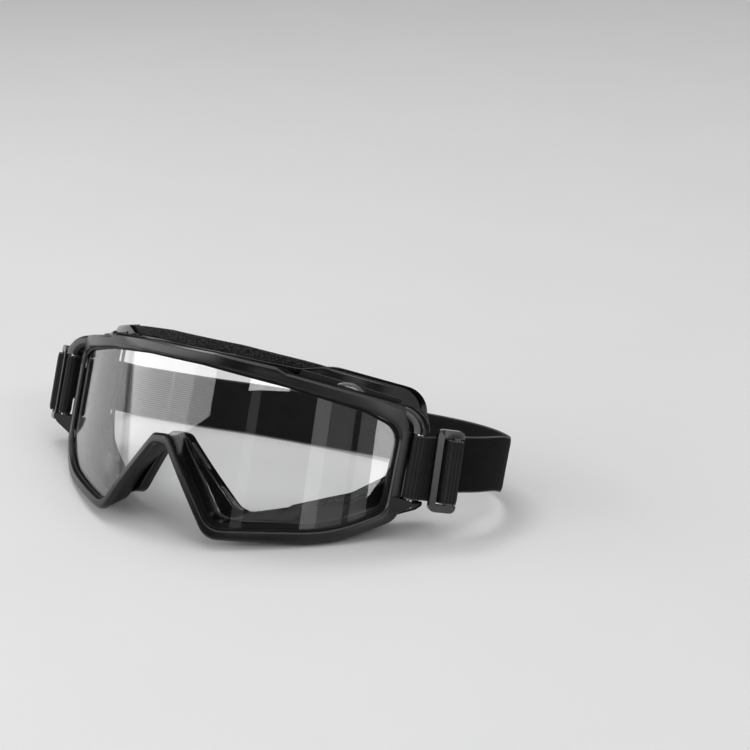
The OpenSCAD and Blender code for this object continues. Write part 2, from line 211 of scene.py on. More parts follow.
def spline(keys: Array, steps: int) -> Array:
    """Smooth curve through all keys, each stretch a cubic of its four nearest keys.

    Args:
        keys: points that the curve passes.
        steps: parts between two keys.

    Returns:
        Points along the curve, both end keys included.
    """
    pad = np.vstack((2 * keys[:1] - keys[1:2], keys, 2 * keys[-1:] - keys[-2:-1]))
    t = np.arange(steps)[None, :, None] / steps
    a, b, c, d = (pad[i:len(pad) - 3 + i, None, :] for i in range(4))
    body = 0.5 * (2 * b + (c - a) * t + (2 * a - 5 * b + 4 * c - d) * t ** 2
                  + (3 * b - a - 3 * c + d) * t ** 3)
    return np.vstack((body.reshape(-1, keys.shape[1]), keys[-1:]))


def tube(path: Array, radius: float, closed: bool = False, parts: int = 10) -> Array:
    """Circle carried along a path: its plane is square to the path, turned as little as the z axis allows.

    Args:
        path: points along the path.
        radius: radius of the circle.
        closed: whether the path runs round.
        parts: points of the circle.

    Returns:
        Grid of circle by path by 3.
    """
    ahead = np.roll(path, -1, 0) - np.roll(path, 1, 0) if closed else np.gradient(path, axis=0)
    ahead /= np.linalg.norm(ahead, axis=1, keepdims=True)
    first = np.cross(ahead, (0.31, 0.9, 0.3))
    first /= np.linalg.norm(first, axis=1, keepdims=True)
    second = np.cross(ahead, first)
    a = np.linspace(0, 2 * np.pi, parts, endpoint=False)[:, None, None]
    return path[None] + radius * (first[None] * np.cos(a) + second[None] * np.sin(a))


def waved(angle: Array, wave: Callable[[Array], Array], power: float) -> Array:
    """Coordinate of a superellipse: the wave of the angle with its size raised to a power."""
    return np.sign(wave(angle)) * np.abs(wave(angle)) ** power


def eased(value: Array) -> Array:
    """Value held from 0 to 1 and eased at both ends, 3t^2 - 2t^3."""
    t = np.clip(value, 0, 1)
    return t * t * (3 - 2 * t)


def flat_section(count: int, corners: Sequence[float]) -> tuple[Array, Array]:
    """Section of a flat band: two faces of points from edge to edge and back.

    Args:
        count: points on each face.
        corners: share of the thickness at the outermost points of each face, from the edge inwards.

    Returns:
        Columns of the place across, from 0 to 1, and of the side, 1 or -1 and less towards the edges.
    """
    across = np.concatenate((np.linspace(0, 1, count), np.linspace(1, 0, count)))[:, None]
    side = np.concatenate((np.full(count, 1.0), np.full(count, -1.0)))[:, None]
    for k, share in enumerate(corners):
        side[[k, count - 1 - k, count + k, 2 * count - 1 - k]] *= share
    return across, side


def sides(path: Array) -> Array:
    """Unit direction square to a plan path, to its left, from the points before and after each point."""
    ahead = np.gradient(path[:, :2], axis=0)
    ahead /= np.maximum(np.linalg.norm(ahead, axis=1, keepdims=True), 1e-9)
    return np.stack((-ahead[:, 1], ahead[:, 0]), -1)


def lengths(path: Array) -> Array:
    """Length along a path up to each of its points."""
    return np.concatenate(([0.0], np.cumsum(np.linalg.norm(np.diff(path, axis=0), axis=1))))


# Surfaces and pieces


@dataclass
class Shell:
    """Vertices, faces and lengthwise coordinates of one closed surface."""

    vertices: Array
    faces: list[tuple[int, ...]]
    uv: Optional[Array] = None

    def outward(self) -> "Shell":
        """Turns every face round where the volume that they enclose comes out negative."""
        total = 0.0
        for size in {len(f) for f in self.faces}:
            group = np.array([f for f in self.faces if len(f) == size])
            first = self.vertices[group[:, 0]]
            for k in range(1, size - 1):
                second, third = self.vertices[group[:, k]], self.vertices[group[:, k + 1]]
                total += float(np.einsum("ij,ij->i", first, np.cross(second, third)).sum())
        if total < 0:
            self.faces = [f[::-1] for f in self.faces]
        return self


def loft(rows: Array, closed_path: bool, uv: Optional[Array] = None) -> Shell:
    """Surface of a closed profile carried along a path: quads between all neighbours of the grid.

    Args:
        rows: grid of points, profile by path by 3.
        closed_path: whether the path runs round; otherwise both ends are closed with a face.
        uv: grid of coordinates on the surface, profile by path by 2.

    Returns:
        The closed surface with its faces outwards.
    """
    m, n = rows.shape[:2]
    j, i = np.meshgrid(np.arange(m), np.arange(n if closed_path else n - 1), indexing="ij")
    j2, i2 = (j + 1) % m, (i + 1) % n
    quads = np.stack((j * n + i, j * n + i2, j2 * n + i2, j2 * n + i), -1).reshape(-1, 4)
    faces = [tuple(q) for q in quads.tolist()]
    if not closed_path:
        faces.append(tuple(int(k) * n for k in range(m))[::-1])
        faces.append(tuple(int(k) * n + n - 1 for k in range(m)))
    flat = None if uv is None else uv.reshape(-1, 2)
    return Shell(rows.reshape(-1, 3), faces, flat).outward()


class Edge(Enum):
    """How sharp the edges of a piece are shaded."""

    SOFT = 60.0
    CRISP = 32.0


def piece(name: str, shell: Shell, edge: Edge = Edge.SOFT) -> bpy.types.Object:
    """Puts a surface into a new object at the origin.

    Args:
        name: name of the piece.
        shell: the surface, in metres in the row frame.
        edge: from which angle an edge is shaded sharp.

    Returns:
        The linked object.
    """
    mesh = bpy.data.meshes.new(name)
    mesh.from_pydata(shell.vertices.tolist(), [], shell.faces)
    mesh.polygons.foreach_set("use_smooth", np.ones(len(mesh.polygons), bool))
    mesh.set_sharp_from_angle(angle=np.radians(edge.value))
    if shell.uv is not None:
        corners = np.empty(len(mesh.loops), np.int32)
        mesh.loops.foreach_get("vertex_index", corners)
        layer = mesh.uv_layers.new(name="surface")
        layer.data.foreach_set("uv", shell.uv[corners].astype(np.float32).ravel())
    mesh.update()
    obj = bpy.data.objects.new(name, mesh)
    bpy.context.scene.collection.objects.link(obj)
    return obj


def finished(obj: bpy.types.Object, edge: Edge = Edge.SOFT) -> bpy.types.Object:
    """Applies all modifiers of a piece and shades it again.

    Args:
        obj: the piece, at the origin.
        edge: from which angle an edge is shaded sharp.

    Returns:
        The same object with its final mesh.
    """
    graph = bpy.context.evaluated_depsgraph_get()
    mesh = bpy.data.meshes.new_from_object(obj.evaluated_get(graph))
    obj.modifiers.clear()
    obj.data = mesh
    mesh.polygons.foreach_set("use_smooth", np.ones(len(mesh.polygons), bool))
    mesh.set_sharp_from_angle(angle=np.radians(edge.value))
    return obj


def bevelled(obj: bpy.types.Object, width: float, segments: int = 3) -> bpy.types.Object:
    """Rounds the sharp edges of a plate.

    Args:
        obj: the piece.
        width: width of the rounding, in millimetres.
        segments: parts of each rounding.

    Returns:
        The piece with its final mesh.
    """
    bevel = obj.modifiers.new("rounding", "BEVEL")
    bevel.width, bevel.segments = width * MM, segments
    bevel.limit_method, bevel.angle_limit = "ANGLE", np.radians(35)
    bevel.harden_normals = False
    return finished(obj, Edge.CRISP)


# Finishes


class Nodes:
    """Short hand for building one node tree."""

    def __init__(self, tree: bpy.types.NodeTree) -> None:
        """Keeps the tree."""
        self.tree = tree

    def add(self, kind: str, **settings: object) -> bpy.types.Node:
        """Adds a node.

        Args:
            kind: type of the node without its Shader prefix where it has one.
            settings: properties of the node.

        Returns:
            The new node.
        """
        node = self.tree.nodes.new(kind if kind.startswith("Node") else "ShaderNode" + kind)
        for key, value in settings.items():
            setattr(node, key, value)
        return node

    def feed(self, target: bpy.types.NodeSocket, value: Socket) -> None:
        """Links a socket to the target, or writes a plain value into it."""
        if isinstance(value, bpy.types.NodeSocket):
            self.tree.links.new(value, target)
        else:
            target.default_value = value

    def maths(self, operation: str, *values: Socket) -> bpy.types.NodeSocket:
        """One Math node.

        Args:
            operation: its operation.
            values: its inputs, sockets or numbers.

        Returns:
            Its result.
        """
        node = self.add("Math", operation=operation)
        for target, value in zip(node.inputs, values):
            self.feed(target, value)
        return node.outputs[0]

    def ramp(self, value: Socket, low: float, high: float, to_low: float = 0.0,
             to_high: float = 1.0) -> bpy.types.NodeSocket:
        """Carries a value from one range to another, smoothly and within its ends.

        Args:
            value: the value.
            low: lower end of its range.
            high: upper end of its range.
            to_low: result at the lower end.
            to_high: result at the upper end.

        Returns:
            The result.
        """
        node = self.add("MapRange", interpolation_type="SMOOTHSTEP")
        for target, entry in zip(node.inputs, (value, low, high, to_low, to_high)):
            self.feed(target, entry)
        return node.outputs[0]

    def blend(self, share: Socket, first: Union[Socket, tuple], second: Union[Socket, tuple]
              ) -> bpy.types.NodeSocket:
        """Mixes two colours.

        Args:
            share: share of the second colour.
            first: first colour.
            second: second colour.

        Returns:
            The mixed colour.
        """
        node = self.add("Mix", data_type="RGBA")
        self.feed(node.inputs[0], share)
        self.feed(node.inputs[6], first)
        self.feed(node.inputs[7], second)
        return node.outputs[2]

    def noise(self, where: Socket, scale: float, detail: float = 2.0, rough: float = 0.5
              ) -> bpy.types.NodeSocket:
        """Value of a Noise texture.

        Args:
            where: coordinates.
            scale: its scale.
            detail: its detail.
            rough: its roughness.

        Returns:
            The value.
        """
        node = self.add("TexNoise")
        self.feed(node.inputs["Vector"], where)
        node.inputs["Scale"].default_value = scale
        node.inputs["Detail"].default_value = detail
        node.inputs["Roughness"].default_value = rough
        return node.outputs[0]


def group(name: str, inputs: dict[str, float], outputs: Sequence[str]
          ) -> tuple[Nodes, bpy.types.Node, bpy.types.Node]:
    """Starts a node group with number sockets.

    Args:
        name: name of the group.
        inputs: its inputs with their plain values.
        outputs: its outputs.

    Returns:
        The tree's short hand, its input node and its output node.
    """
    tree = bpy.data.node_groups.new(name, "ShaderNodeTree")
    for key, value in inputs.items():
        tree.interface.new_socket(key, in_out="INPUT", socket_type="NodeSocketFloat").default_value = value
    for key in outputs:
        tree.interface.new_socket(key, in_out="OUTPUT", socket_type="NodeSocketFloat")
    nodes = Nodes(tree)
    return nodes, nodes.add("NodeGroupInput"), nodes.add("NodeGroupOutput")


def moulded_grain() -> bpy.types.NodeTree:
    """Grain of a moulded surface: fine bumps, faint flow marks and polish along worn edges.

    Returns:
        Group with Height, Marks and Worn, each from 0 to 1.
    """
    tree, source, result = group("moulded_grain", {"Fineness": 1800.0}, ("Height", "Marks", "Worn"))
    where = tree.add("TexCoord").outputs["Object"]
    fine = tree.add("TexNoise")
    tree.feed(fine.inputs["Vector"], where)
    tree.feed(fine.inputs["Scale"], source.outputs["Fineness"])
    tree.feed(result.inputs["Height"], fine.outputs[0])
    tree.feed(result.inputs["Marks"], tree.ramp(tree.noise(where, 55.0, 4.0, 0.65), 0.35, 0.68))
    point = tree.add("NewGeometry").outputs["Pointiness"]
    scuffed = tree.maths("MULTIPLY", tree.ramp(point, 0.505, 0.56),
                         tree.ramp(tree.noise(where, 240.0, 3.0), 0.3, 0.7))
    tree.feed(result.inputs["Worn"], scuffed)
    return tree.tree


def woven_band() -> bpy.types.NodeTree:
    """Weave of the elastic on its own coordinates in millimetres.

    Ribs run along the band and yarns cross them on the slant, so the sum of two waves gives a twill.
    Light dots where a yarn turns at the edges and thinly over the face are painted glints; Shade darkens the
    hollows of the weave as painted shade.

    Returns:
        Group with Height, Shade and Dots, each from 0 to 1.
    """
    tree, source, result = group("woven_band", {"Rib": 1.0, "Yarn": 0.9, "Slant": 0.55, "Width": 25.4},
                                 ("Height", "Shade", "Glints"))
    uv = tree.add("UVMap", uv_map="surface").outputs[0]
    parts = tree.add("SeparateXYZ")
    tree.feed(parts.inputs[0], uv)
    along, across = parts.outputs[0], parts.outputs[1]
    turn = 2 * np.pi
    row = tree.maths("DIVIDE", across, source.outputs["Rib"])
    rib = tree.maths("SINE", tree.maths("MULTIPLY", row, turn))
    lead = tree.maths("MULTIPLY_ADD", across, source.outputs["Slant"], along)
    slant = tree.maths("DIVIDE", lead, source.outputs["Yarn"])
    yarn = tree.maths("SINE", tree.maths("MULTIPLY", slant, turn))
    height = tree.maths("MULTIPLY_ADD", tree.maths("ADD", rib, yarn), 0.25, 0.5)
    tree.feed(result.inputs["Height"], height)
    # Shade follows the weave's height, so its hollows come out darker as painted shade, times a slow random
    # tone.
    large = tree.noise(uv, 0.12, 3.0)
    tree.feed(result.inputs["Shade"], tree.maths("MULTIPLY", height, tree.ramp(large, 0.3, 0.7, 0.7, 1.0)))
    # Light dots at the yarn turns along both edges and sparse dots over the face: painted glints.
    from_edge = tree.maths("SUBTRACT", source.outputs["Width"], across)
    near = tree.maths("MINIMUM", across, from_edge)
    edge = tree.ramp(near, 0.3, 0.75, 1.0, 0.0)
    pick = tree.maths("SINE", tree.maths("MULTIPLY", along, turn / 1.25))
    edge_glints = tree.maths("MULTIPLY", edge, tree.ramp(pick, -0.3, 0.5, 0.12, 1.0))
    cells = tree.add("TexVoronoi", feature="F1")
    tree.feed(cells.inputs["Vector"], uv)
    cells.inputs["Scale"].default_value = 1.6
    dot = tree.ramp(cells.outputs["Distance"], 0.1, 0.26, 1.0, 0.0)
    thin = tree.ramp(tree.noise(uv, 1.3, 2.0), 0.5, 0.75, 0.02, 0.2)
    tree.feed(result.inputs["Glints"], tree.maths("MAXIMUM", edge_glints, tree.maths("MULTIPLY", dot, thin)))
    return tree.tree


def open_foam() -> bpy.types.NodeTree:
    """Cells of an open foam: pores between walls at two sizes, the pores darker as painted shade.

    Returns:
        Group with Height and Shade, each from 0 to 1.
    """
    tree, source, result = group("open_foam", {"Cells": 900.0}, ("Height", "Shade"))
    where = tree.add("TexCoord").outputs["Object"]
    cells = tree.add("TexVoronoi", feature="F1")
    tree.feed(cells.inputs["Vector"], where)
    tree.feed(cells.inputs["Scale"], source.outputs["Cells"])
    wall = tree.ramp(cells.outputs["Distance"], 0.15, 0.6)
    speck = tree.ramp(tree.noise(where, 1500.0, 2.0, 0.6), 0.34, 0.66)
    height = tree.maths("MULTIPLY_ADD", wall, 0.6, tree.maths("MULTIPLY", speck, 0.4))
    tree.feed(result.inputs["Height"], height)
    # Shade: a random speck, darker in the pores as painted shade.
    tree.feed(result.inputs["Shade"], tree.maths("MULTIPLY", speck, tree.ramp(wall, 0.0, 1.0, 0.55, 1.0)))
    return tree.tree


@dataclass
class Groups:
    """The node groups that several finishes share."""

    grain: bpy.types.NodeTree = field(default_factory=moulded_grain)
    weave: bpy.types.NodeTree = field(default_factory=woven_band)
    foam: bpy.types.NodeTree = field(default_factory=open_foam)


GROUPS = Groups()


def new_material(name: str) -> tuple[bpy.types.Material, Nodes, bpy.types.Node]:
    """Empty material with its main shader.

    Args:
        name: name of the material.

    Returns:
        The material, its tree's short hand and the Principled node.
    """
    material = bpy.data.materials.new(name)
    material.use_nodes = True
    nodes = Nodes(material.node_tree)
    return material, nodes, material.node_tree.nodes["Principled BSDF"]


def opaque(colour: Colour) -> tuple[float, float, float, float]:
    """Colour with a full alpha."""
    return colour + (1.0,)


def emboss(nodes: Nodes, shader: bpy.types.Node, height: bpy.types.NodeSocket, strength: float,
           depth: float) -> None:
    """Feeds a bump to the shader.

    Args:
        nodes: the material's tree.
        shader: its Principled node.
        height: height from 0 to 1.
        strength: strength of the bump.
        depth: depth of the relief in metres.
    """
    bump = nodes.add("Bump")
    bump.inputs["Strength"].default_value = strength
    bump.inputs["Distance"].default_value = depth
    nodes.feed(bump.inputs["Height"], height)
    nodes.feed(shader.inputs["Normal"], bump.outputs[0])


@dataclass(frozen=True)
class MouldedFinish:
    """Moulded plastic, rubber or metal with grain, faint marks and polished edges."""

    name: str
    colour: Colour
    worn: Colour
    roughness: float
    spread: float = 0.08
    fineness: float = 1800.0
    relief: float = 0.04
    metallic: float = 0.0
    specular: float = 0.5

    def material(self) -> bpy.types.Material:
        """Builds the material.

        Returns:
            The new material.
        """
        material, nodes, shader = new_material(self.name)
        grain = nodes.add("Group", node_tree=GROUPS.grain)
        grain.inputs["Fineness"].default_value = self.fineness
        marks, worn = grain.outputs["Marks"], grain.outputs["Worn"]
        dark = opaque(tuple(c * 0.8 for c in self.colour))
        body = nodes.blend(marks, dark, opaque(self.colour))
        nodes.feed(shader.inputs["Base Color"], nodes.blend(worn, body, opaque(self.worn)))
        rough = nodes.ramp(marks, 0.0, 1.0, self.roughness - self.spread, self.roughness + self.spread)
        nodes.feed(shader.inputs["Roughness"], rough)
        emboss(nodes, shader, grain.outputs["Height"], self.relief, 0.0002)
        shader.inputs["Metallic"].default_value = self.metallic
        shader.inputs["Specular IOR Level"].default_value = self.specular
        return material


@dataclass(frozen=True)
class WovenFinish:
    """Woven elastic or webbing, darker in the hollows of its weave as painted shade, with light dots of
    thread as painted glints.
    """

    name: str
    low: Colour
    high: Colour
    glints: Colour
    rib: float
    yarn: float
    width: float
    slant: float = 0.55
    relief: float = 0.3
    roughness: float = 0.8

    def material(self) -> bpy.types.Material:
        """Builds the material.

        Returns:
            The new material.
        """
        material, nodes, shader = new_material(self.name)
        weave = nodes.add("Group", node_tree=GROUPS.weave)
        for key, value in (("Rib", self.rib), ("Yarn", self.yarn), ("Slant", self.slant),
                           ("Width", self.width)):
            weave.inputs[key].default_value = value
        # The low colour is painted shade in the weave's hollows and the dots colour paints glints.
        cloth = nodes.blend(weave.outputs["Shade"], opaque(self.low), opaque(self.high))
        nodes.feed(shader.inputs["Base Color"], nodes.blend(weave.outputs["Glints"], cloth, opaque(self.glints)))
        shader.inputs["Roughness"].default_value = self.roughness
        shader.inputs["Specular IOR Level"].default_value = 0.12
        emboss(nodes, shader, weave.outputs["Height"], self.relief, 0.0004)
        return material


@dataclass(frozen=True)
class FoamFinish:
    """Open foam with pores."""

    name: str
    low: Colour
    high: Colour
    cells: float = 900.0
    relief: float = 0.9

    def material(self) -> bpy.types.Material:
        """Builds the material.

        Returns:
            The new material.
        """
        material, nodes, shader = new_material(self.name)
        foam = nodes.add("Group", node_tree=GROUPS.foam)
        foam.inputs["Cells"].default_value = self.cells
        # The low colour is the random dark speck and the painted shade in the pores.
        nodes.feed(shader.inputs["Base Color"],
                   nodes.blend(foam.outputs["Shade"], opaque(self.low), opaque(self.high)))
        shader.inputs["Roughness"].default_value = 0.95
        shader.inputs["Specular IOR Level"].default_value = 0.1
        emboss(nodes, shader, foam.outputs["Height"], self.relief, 0.0006)
        return material


@dataclass(frozen=True)
class ClearFinish:
    """Clear moulded lens that lets light through to what is behind it."""

    name: str
    tint: Colour
    refraction: float = 1.5

    def material(self) -> bpy.types.Material:
        """Builds the material: the plain lens, and an open way for light that casts shadows.

        Returns:
            The new material.
        """
        material, nodes, shader = new_material(self.name)
        shader.inputs["Base Color"].default_value = opaque(self.tint)
        shader.inputs["Transmission Weight"].default_value = 1.0
        shader.inputs["IOR"].default_value = self.refraction
        shader.inputs["Roughness"].default_value = 0.0
        open_way = nodes.add("BsdfTransparent")
        open_way.inputs[0].default_value = opaque((0.9, 0.91, 0.92))
        path, mix = nodes.add("LightPath"), nodes.add("MixShader")
        soft = nodes.maths("MAXIMUM", path.outputs["Is Shadow Ray"], path.outputs["Is Diffuse Ray"])
        nodes.feed(mix.inputs[0], soft)
        nodes.feed(mix.inputs[1], shader.outputs[0])
        nodes.feed(mix.inputs[2], open_way.outputs[0])
        nodes.feed(material.node_tree.nodes["Material Output"].inputs[0], mix.outputs[0])
        return material


BEZEL = MouldedFinish("satin_bezel", (0.007, 0.0071, 0.0074), (0.03, 0.03, 0.0312), 0.24, 0.015, 1500.0,
                      0.02, specular=0.42)
GASKET = MouldedFinish("gasket_rubber", (0.002, 0.002, 0.0022), (0.006, 0.006, 0.006), 0.5, 0.05,
                       specular=0.15)
CARRIER = MouldedFinish("carrier_plastic", (0.004, 0.004, 0.0043), (0.009, 0.009, 0.0095), 0.4, 0.02,
                        specular=0.15)
RUBBER = MouldedFinish("glossy_rubber", (0.0015, 0.0015, 0.0017), (0.006, 0.006, 0.006), 0.16, 0.04, 900.0,
                       0.003, specular=0.36)
ADJUSTER = MouldedFinish("polished_adjuster", (0.004, 0.0042, 0.0045), (0.012, 0.012, 0.0125), 0.2, 0.01)
# Glossy finish lighter than the black parts that it sits on: its colour is a painted highlight.
GLOSS_PAINTED_HIGHLIGHT = MouldedFinish("gloss_painted_highlight", (0.03, 0.03, 0.031), (0.05, 0.05, 0.052), 0.14, 0.01, specular=1.0)
STEEL = MouldedFinish("pin_steel", (0.42, 0.42, 0.43), (0.6, 0.6, 0.6), 0.28, 0.07, metallic=1.0)
# Woven finishes: low is the painted shade of the weave's hollows, high its crests, the third colour its
# painted glints.
ELASTIC = WovenFinish("woven_elastic", (0.0015, 0.0015, 0.0018), (0.011, 0.0115, 0.0125), (0.22, 0.22, 0.225),
                      1.05, 0.9, 25.4)
WEBBING = WovenFinish("ribbed_webbing", (0.005, 0.005, 0.0055), (0.034, 0.0345, 0.036), (0.16, 0.16, 0.165),
                      0.85, 1.5, 28.6, 0.0)
FOAM = FoamFinish("face_foam", (0.006, 0.006, 0.0062), (0.07, 0.069, 0.067), 1500.0)
CLEAR = ClearFinish("clear_lens", (1.0, 1.0, 1.0))


Finish = Union[MouldedFinish, WovenFinish, FoamFinish, ClearFinish]


class Wardrobe:
    """Materials by finish, each made once."""

    def __init__(self) -> None:
        """Starts empty."""
        self.made: dict[str, bpy.types.Material] = {}

    def material(self, finish: Finish) -> bpy.types.Material:
        """Material of a finish, built at its first use."""
        if finish.name not in self.made:
            self.made[finish.name] = finish.material()
        return self.made[finish.name]

    def dress(self, obj: bpy.types.Object, finish: Finish, slot: str, stands_for: Sequence[str] = (),
              body: Optional[str] = "goggle_frame") -> None:
        """Gives a piece its finish and its body, and hides the nodes that it stands for.

        Args:
            obj: the piece.
            finish: its finish.
            slot: the record's material slot; not used.
            stands_for: CAD nodes that it replaces.
            body: body that it rides on, none to leave it on no body.
        """
        obj.data.materials.clear()
        obj.data.materials.append(self.material(finish))
        if stands_for:
            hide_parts(*stands_for)
        if body:
            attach(obj, body)
        log.info("%s: %d faces, %s", obj.name, len(obj.data.polygons), finish.name)


# Front of the goggles


@dataclass
class Front:
    """Shared drawing of the front: its curve, its outlines and its depths."""

    pose: RestPose = field(default_factory=RestPose)
    curve: FrontCurve = field(default_factory=FrontCurve)
    bezel_proud: float = 2.1
    bezel_skirt: float = 1.3
    lens_seat: float = 0.15
    lens_thickness: float = 2.0
    lens_reach: float = 0.36
    carrier_depth: float = 8.0
    carrier_inner: float = 0.62
    carrier_outer: float = 0.93
    flange_thickness: float = 1.8
    gasket_thickness: float = 2.2
    fit_gap: float = 0.15
    face_depth: float = 25.0
    foam_thin: float = 5.0
    foam_brow: float = 5.0
    foam_seat: float = 0.3
    skirt_over: float = 0.9
    tuck: float = 1.1
    tuck_from: float = -5.0
    tuck_run: float = 18.0
    brow_from: float = 8.0
    brow_run: float = 24.0
    brow_fade: float = 0.9
    cover_from: float = 48.0
    cover_run: float = 14.0
    curtain_to: float = 56.0
    curtain_run: float = 12.0
    curtain_top: float = 12.0
    curtain_fade: float = 4.0
    pad_share: float = 0.97
    brow_share: float = 0.5
    nose_dip: float = 4.0
    dip_top: float = 20.0
    dip_fade: float = 12.0
    dip_side: float = 52.0
    dip_run: float = 20.0
    bridge_more: float = 0.5
    bridge_run: float = 25.0
    opening: Array = field(init=False)
    rim: Array = field(init=False)
    foam_outer: Array = field(init=False)
    foam_inner: Array = field(init=False)

    def __post_init__(self) -> None:
        """Works out the four outlines."""
        self.opening = Outline(((14, 34.7, 60), (48, 32.1, 20), (53, 31.6, 20), (88, 26.9, 40),
                                (105, 21.3, 9), (104.4, -15, 8), (83, -26.8, 75), (29.9, -35.2, 9.5),
                                (4.3, 1.2, 4))).points()
        self.rim = Outline(((20, 41.1, 60), (46.5, 39.9, 5), (51.5, 38, 3), (98, 33.5, 30), (112, 31.5, 8),
                            (112, -17.8, 9), (82.4, -33.9, 75), (28.7, -40.3, 9), (3.2, -3.4, 4))).points()
        self.foam_outer = Outline(((20, 45.6, 60), (47, 43.9, 30), (53, 43.4, 30), (93, 39.4, 30),
                                   (104.8, 37.6, 12), (104, -11, 12), (83, -20, 30), (21, -30.5, 7),
                                   (4.4, -2.4, 4))).points()
        self.foam_inner = Outline(((20, 37, 50), (46, 35.6, 30), (52, 35.1, 30), (86, 31.7, 30),
                                   (97.5, 29.6, 9), (98, -1, 9), (80, -13, 25), (33, -28.2, 9),
                                   (3.9, 1.9, 5))).points()

    @property
    def lens_back(self) -> float:
        """Depth of the lens's rear face."""
        return -self.lens_seat - self.lens_thickness

    @property
    def gasket_front(self) -> float:
        """Depth of the gasket's front face."""
        return self.lens_back - self.fit_gap

    @property
    def flange_front(self) -> float:
        """Depth of the carrier flange's front face."""
        return self.gasket_front - self.gasket_thickness - self.fit_gap

    @property
    def flange_back(self) -> float:
        """Depth of the carrier flange's rear face."""
        return self.flange_front - self.flange_thickness

    def band(self, share: float, out: float, back: float = 0.0) -> Array:
        """Loop at one share of the band between opening and rim.

        The underside rises towards the face in proportion to its depth, so that it lies level on the table.

        Args:
            share: 0 at the opening, 1 at the rim.
            out: distance out of the lens face.
            back: distance back towards the face.

        Returns:
            Upright points of the loop.
        """
        flat = self.opening + (self.rim - self.opening) * share
        slope = np.tan(np.radians(self.pose.lean)) * self.tuck
        under = np.clip((self.tuck_from - flat[:, 1]) / self.tuck_run, 0, 1)
        rise = max(0.0, back - out - self.bezel_skirt) * slope * under
        return self.curve.place(np.stack((flat[:, 0], flat[:, 1] + rise), -1), out, back)

    def foam_depth(self, flat: Array) -> Array:
        """Foam thickness at flat points: thin at the sides, thicker over the brow."""
        brow = np.clip((flat[:, 1] - self.brow_from) / self.brow_run, 0, 1)
        middle = np.maximum(0, np.cos(np.radians(np.minimum(90, np.abs(flat[:, 0]) * self.brow_fade))))
        return self.foam_thin + self.foam_brow * brow * middle

    def foam(self, share: Union[float, Array], back: Union[float, Array]) -> Array:
        """Loop on the foam, which dips in front of the nose.

        Args:
            share: 0 at its inner edge and 1 at its outer edge, one number or one for each point.
            back: 0 at its face and 1 at its root, one number or one for each point.

        Returns:
            Upright points of the loop.
        """
        share = np.broadcast_to(share, len(self.foam_inner))[:, None]
        flat = self.foam_inner + (self.foam_outer - self.foam_inner) * share
        return self.curve.place(flat, 0.0, self.face_depth - self.dip(flat) - self.foam_depth(flat) * back)

    def dip(self, flat: Array) -> Array:
        """How far the face side lies deeper in front of the nose, most over the bridge."""
        bridge = 1 + self.bridge_more * np.clip((flat[:, 1] + self.bridge_run) / self.bridge_run, 0, 1)
        return (self.nose_dip * bridge * np.clip((self.dip_top - flat[:, 1]) / self.dip_fade, 0, 1)
                * np.clip((self.dip_side - np.abs(flat[:, 0])) / self.dip_run, 0, 1))

    @property
    def cover(self) -> Array:
        """How far the skirt reaches over the foam's outer side: not over the brow, fully elsewhere."""
        upper = eased((np.abs(self.foam_outer[:, 0]) - self.cover_from) / self.cover_run)
        return np.where(self.foam_outer[:, 1] > self.brow_from, upper, 1.0)

    @property
    def curtain(self) -> Array:
        """How far the skirt reaches over the foam's inner side: only beside the nose."""
        beside = eased((self.curtain_to - np.abs(self.foam_inner[:, 0])) / self.curtain_run)
        return beside * np.clip((self.curtain_top - self.foam_inner[:, 1]) / self.curtain_fade, 0, 1)

    @property
    def skirt_reach(self) -> Array:
        """Share of the foam's width that the skirt carries: nearly all, and half of it over the brow."""
        brow = (self.foam_depth(self.foam_outer) - self.foam_thin) / self.foam_brow
        return self.pad_share - self.brow_share * brow

    def skirt_edge(self, back: float) -> Array:
        """Rear edge of the skirt, which stays under the foam over the brow and behind the carrier wall."""
        share = self.skirt_reach
        share = share + (1.04 - share) * self.cover
        flat = self.foam_inner + (self.foam_outer - self.foam_inner) * share[:, None]
        wall = (self.carrier_depth - self.flange_front * np.cos(self.curve.heading(flat[:, 0]))
                + self.skirt_over)
        edge = self.face_depth - self.dip(flat) - self.foam_depth(flat) * back
        return self.curve.place(flat, 0.0, np.maximum(edge, wall))

    def ring(self, loops: Sequence[Array], radii: Sequence[float], steps: int = 4) -> Shell:
        """Closed ring through upright loops with rounded corners, laid on the table."""
        return loft(self.pose.to_row(soften(loops, radii, steps)), True)


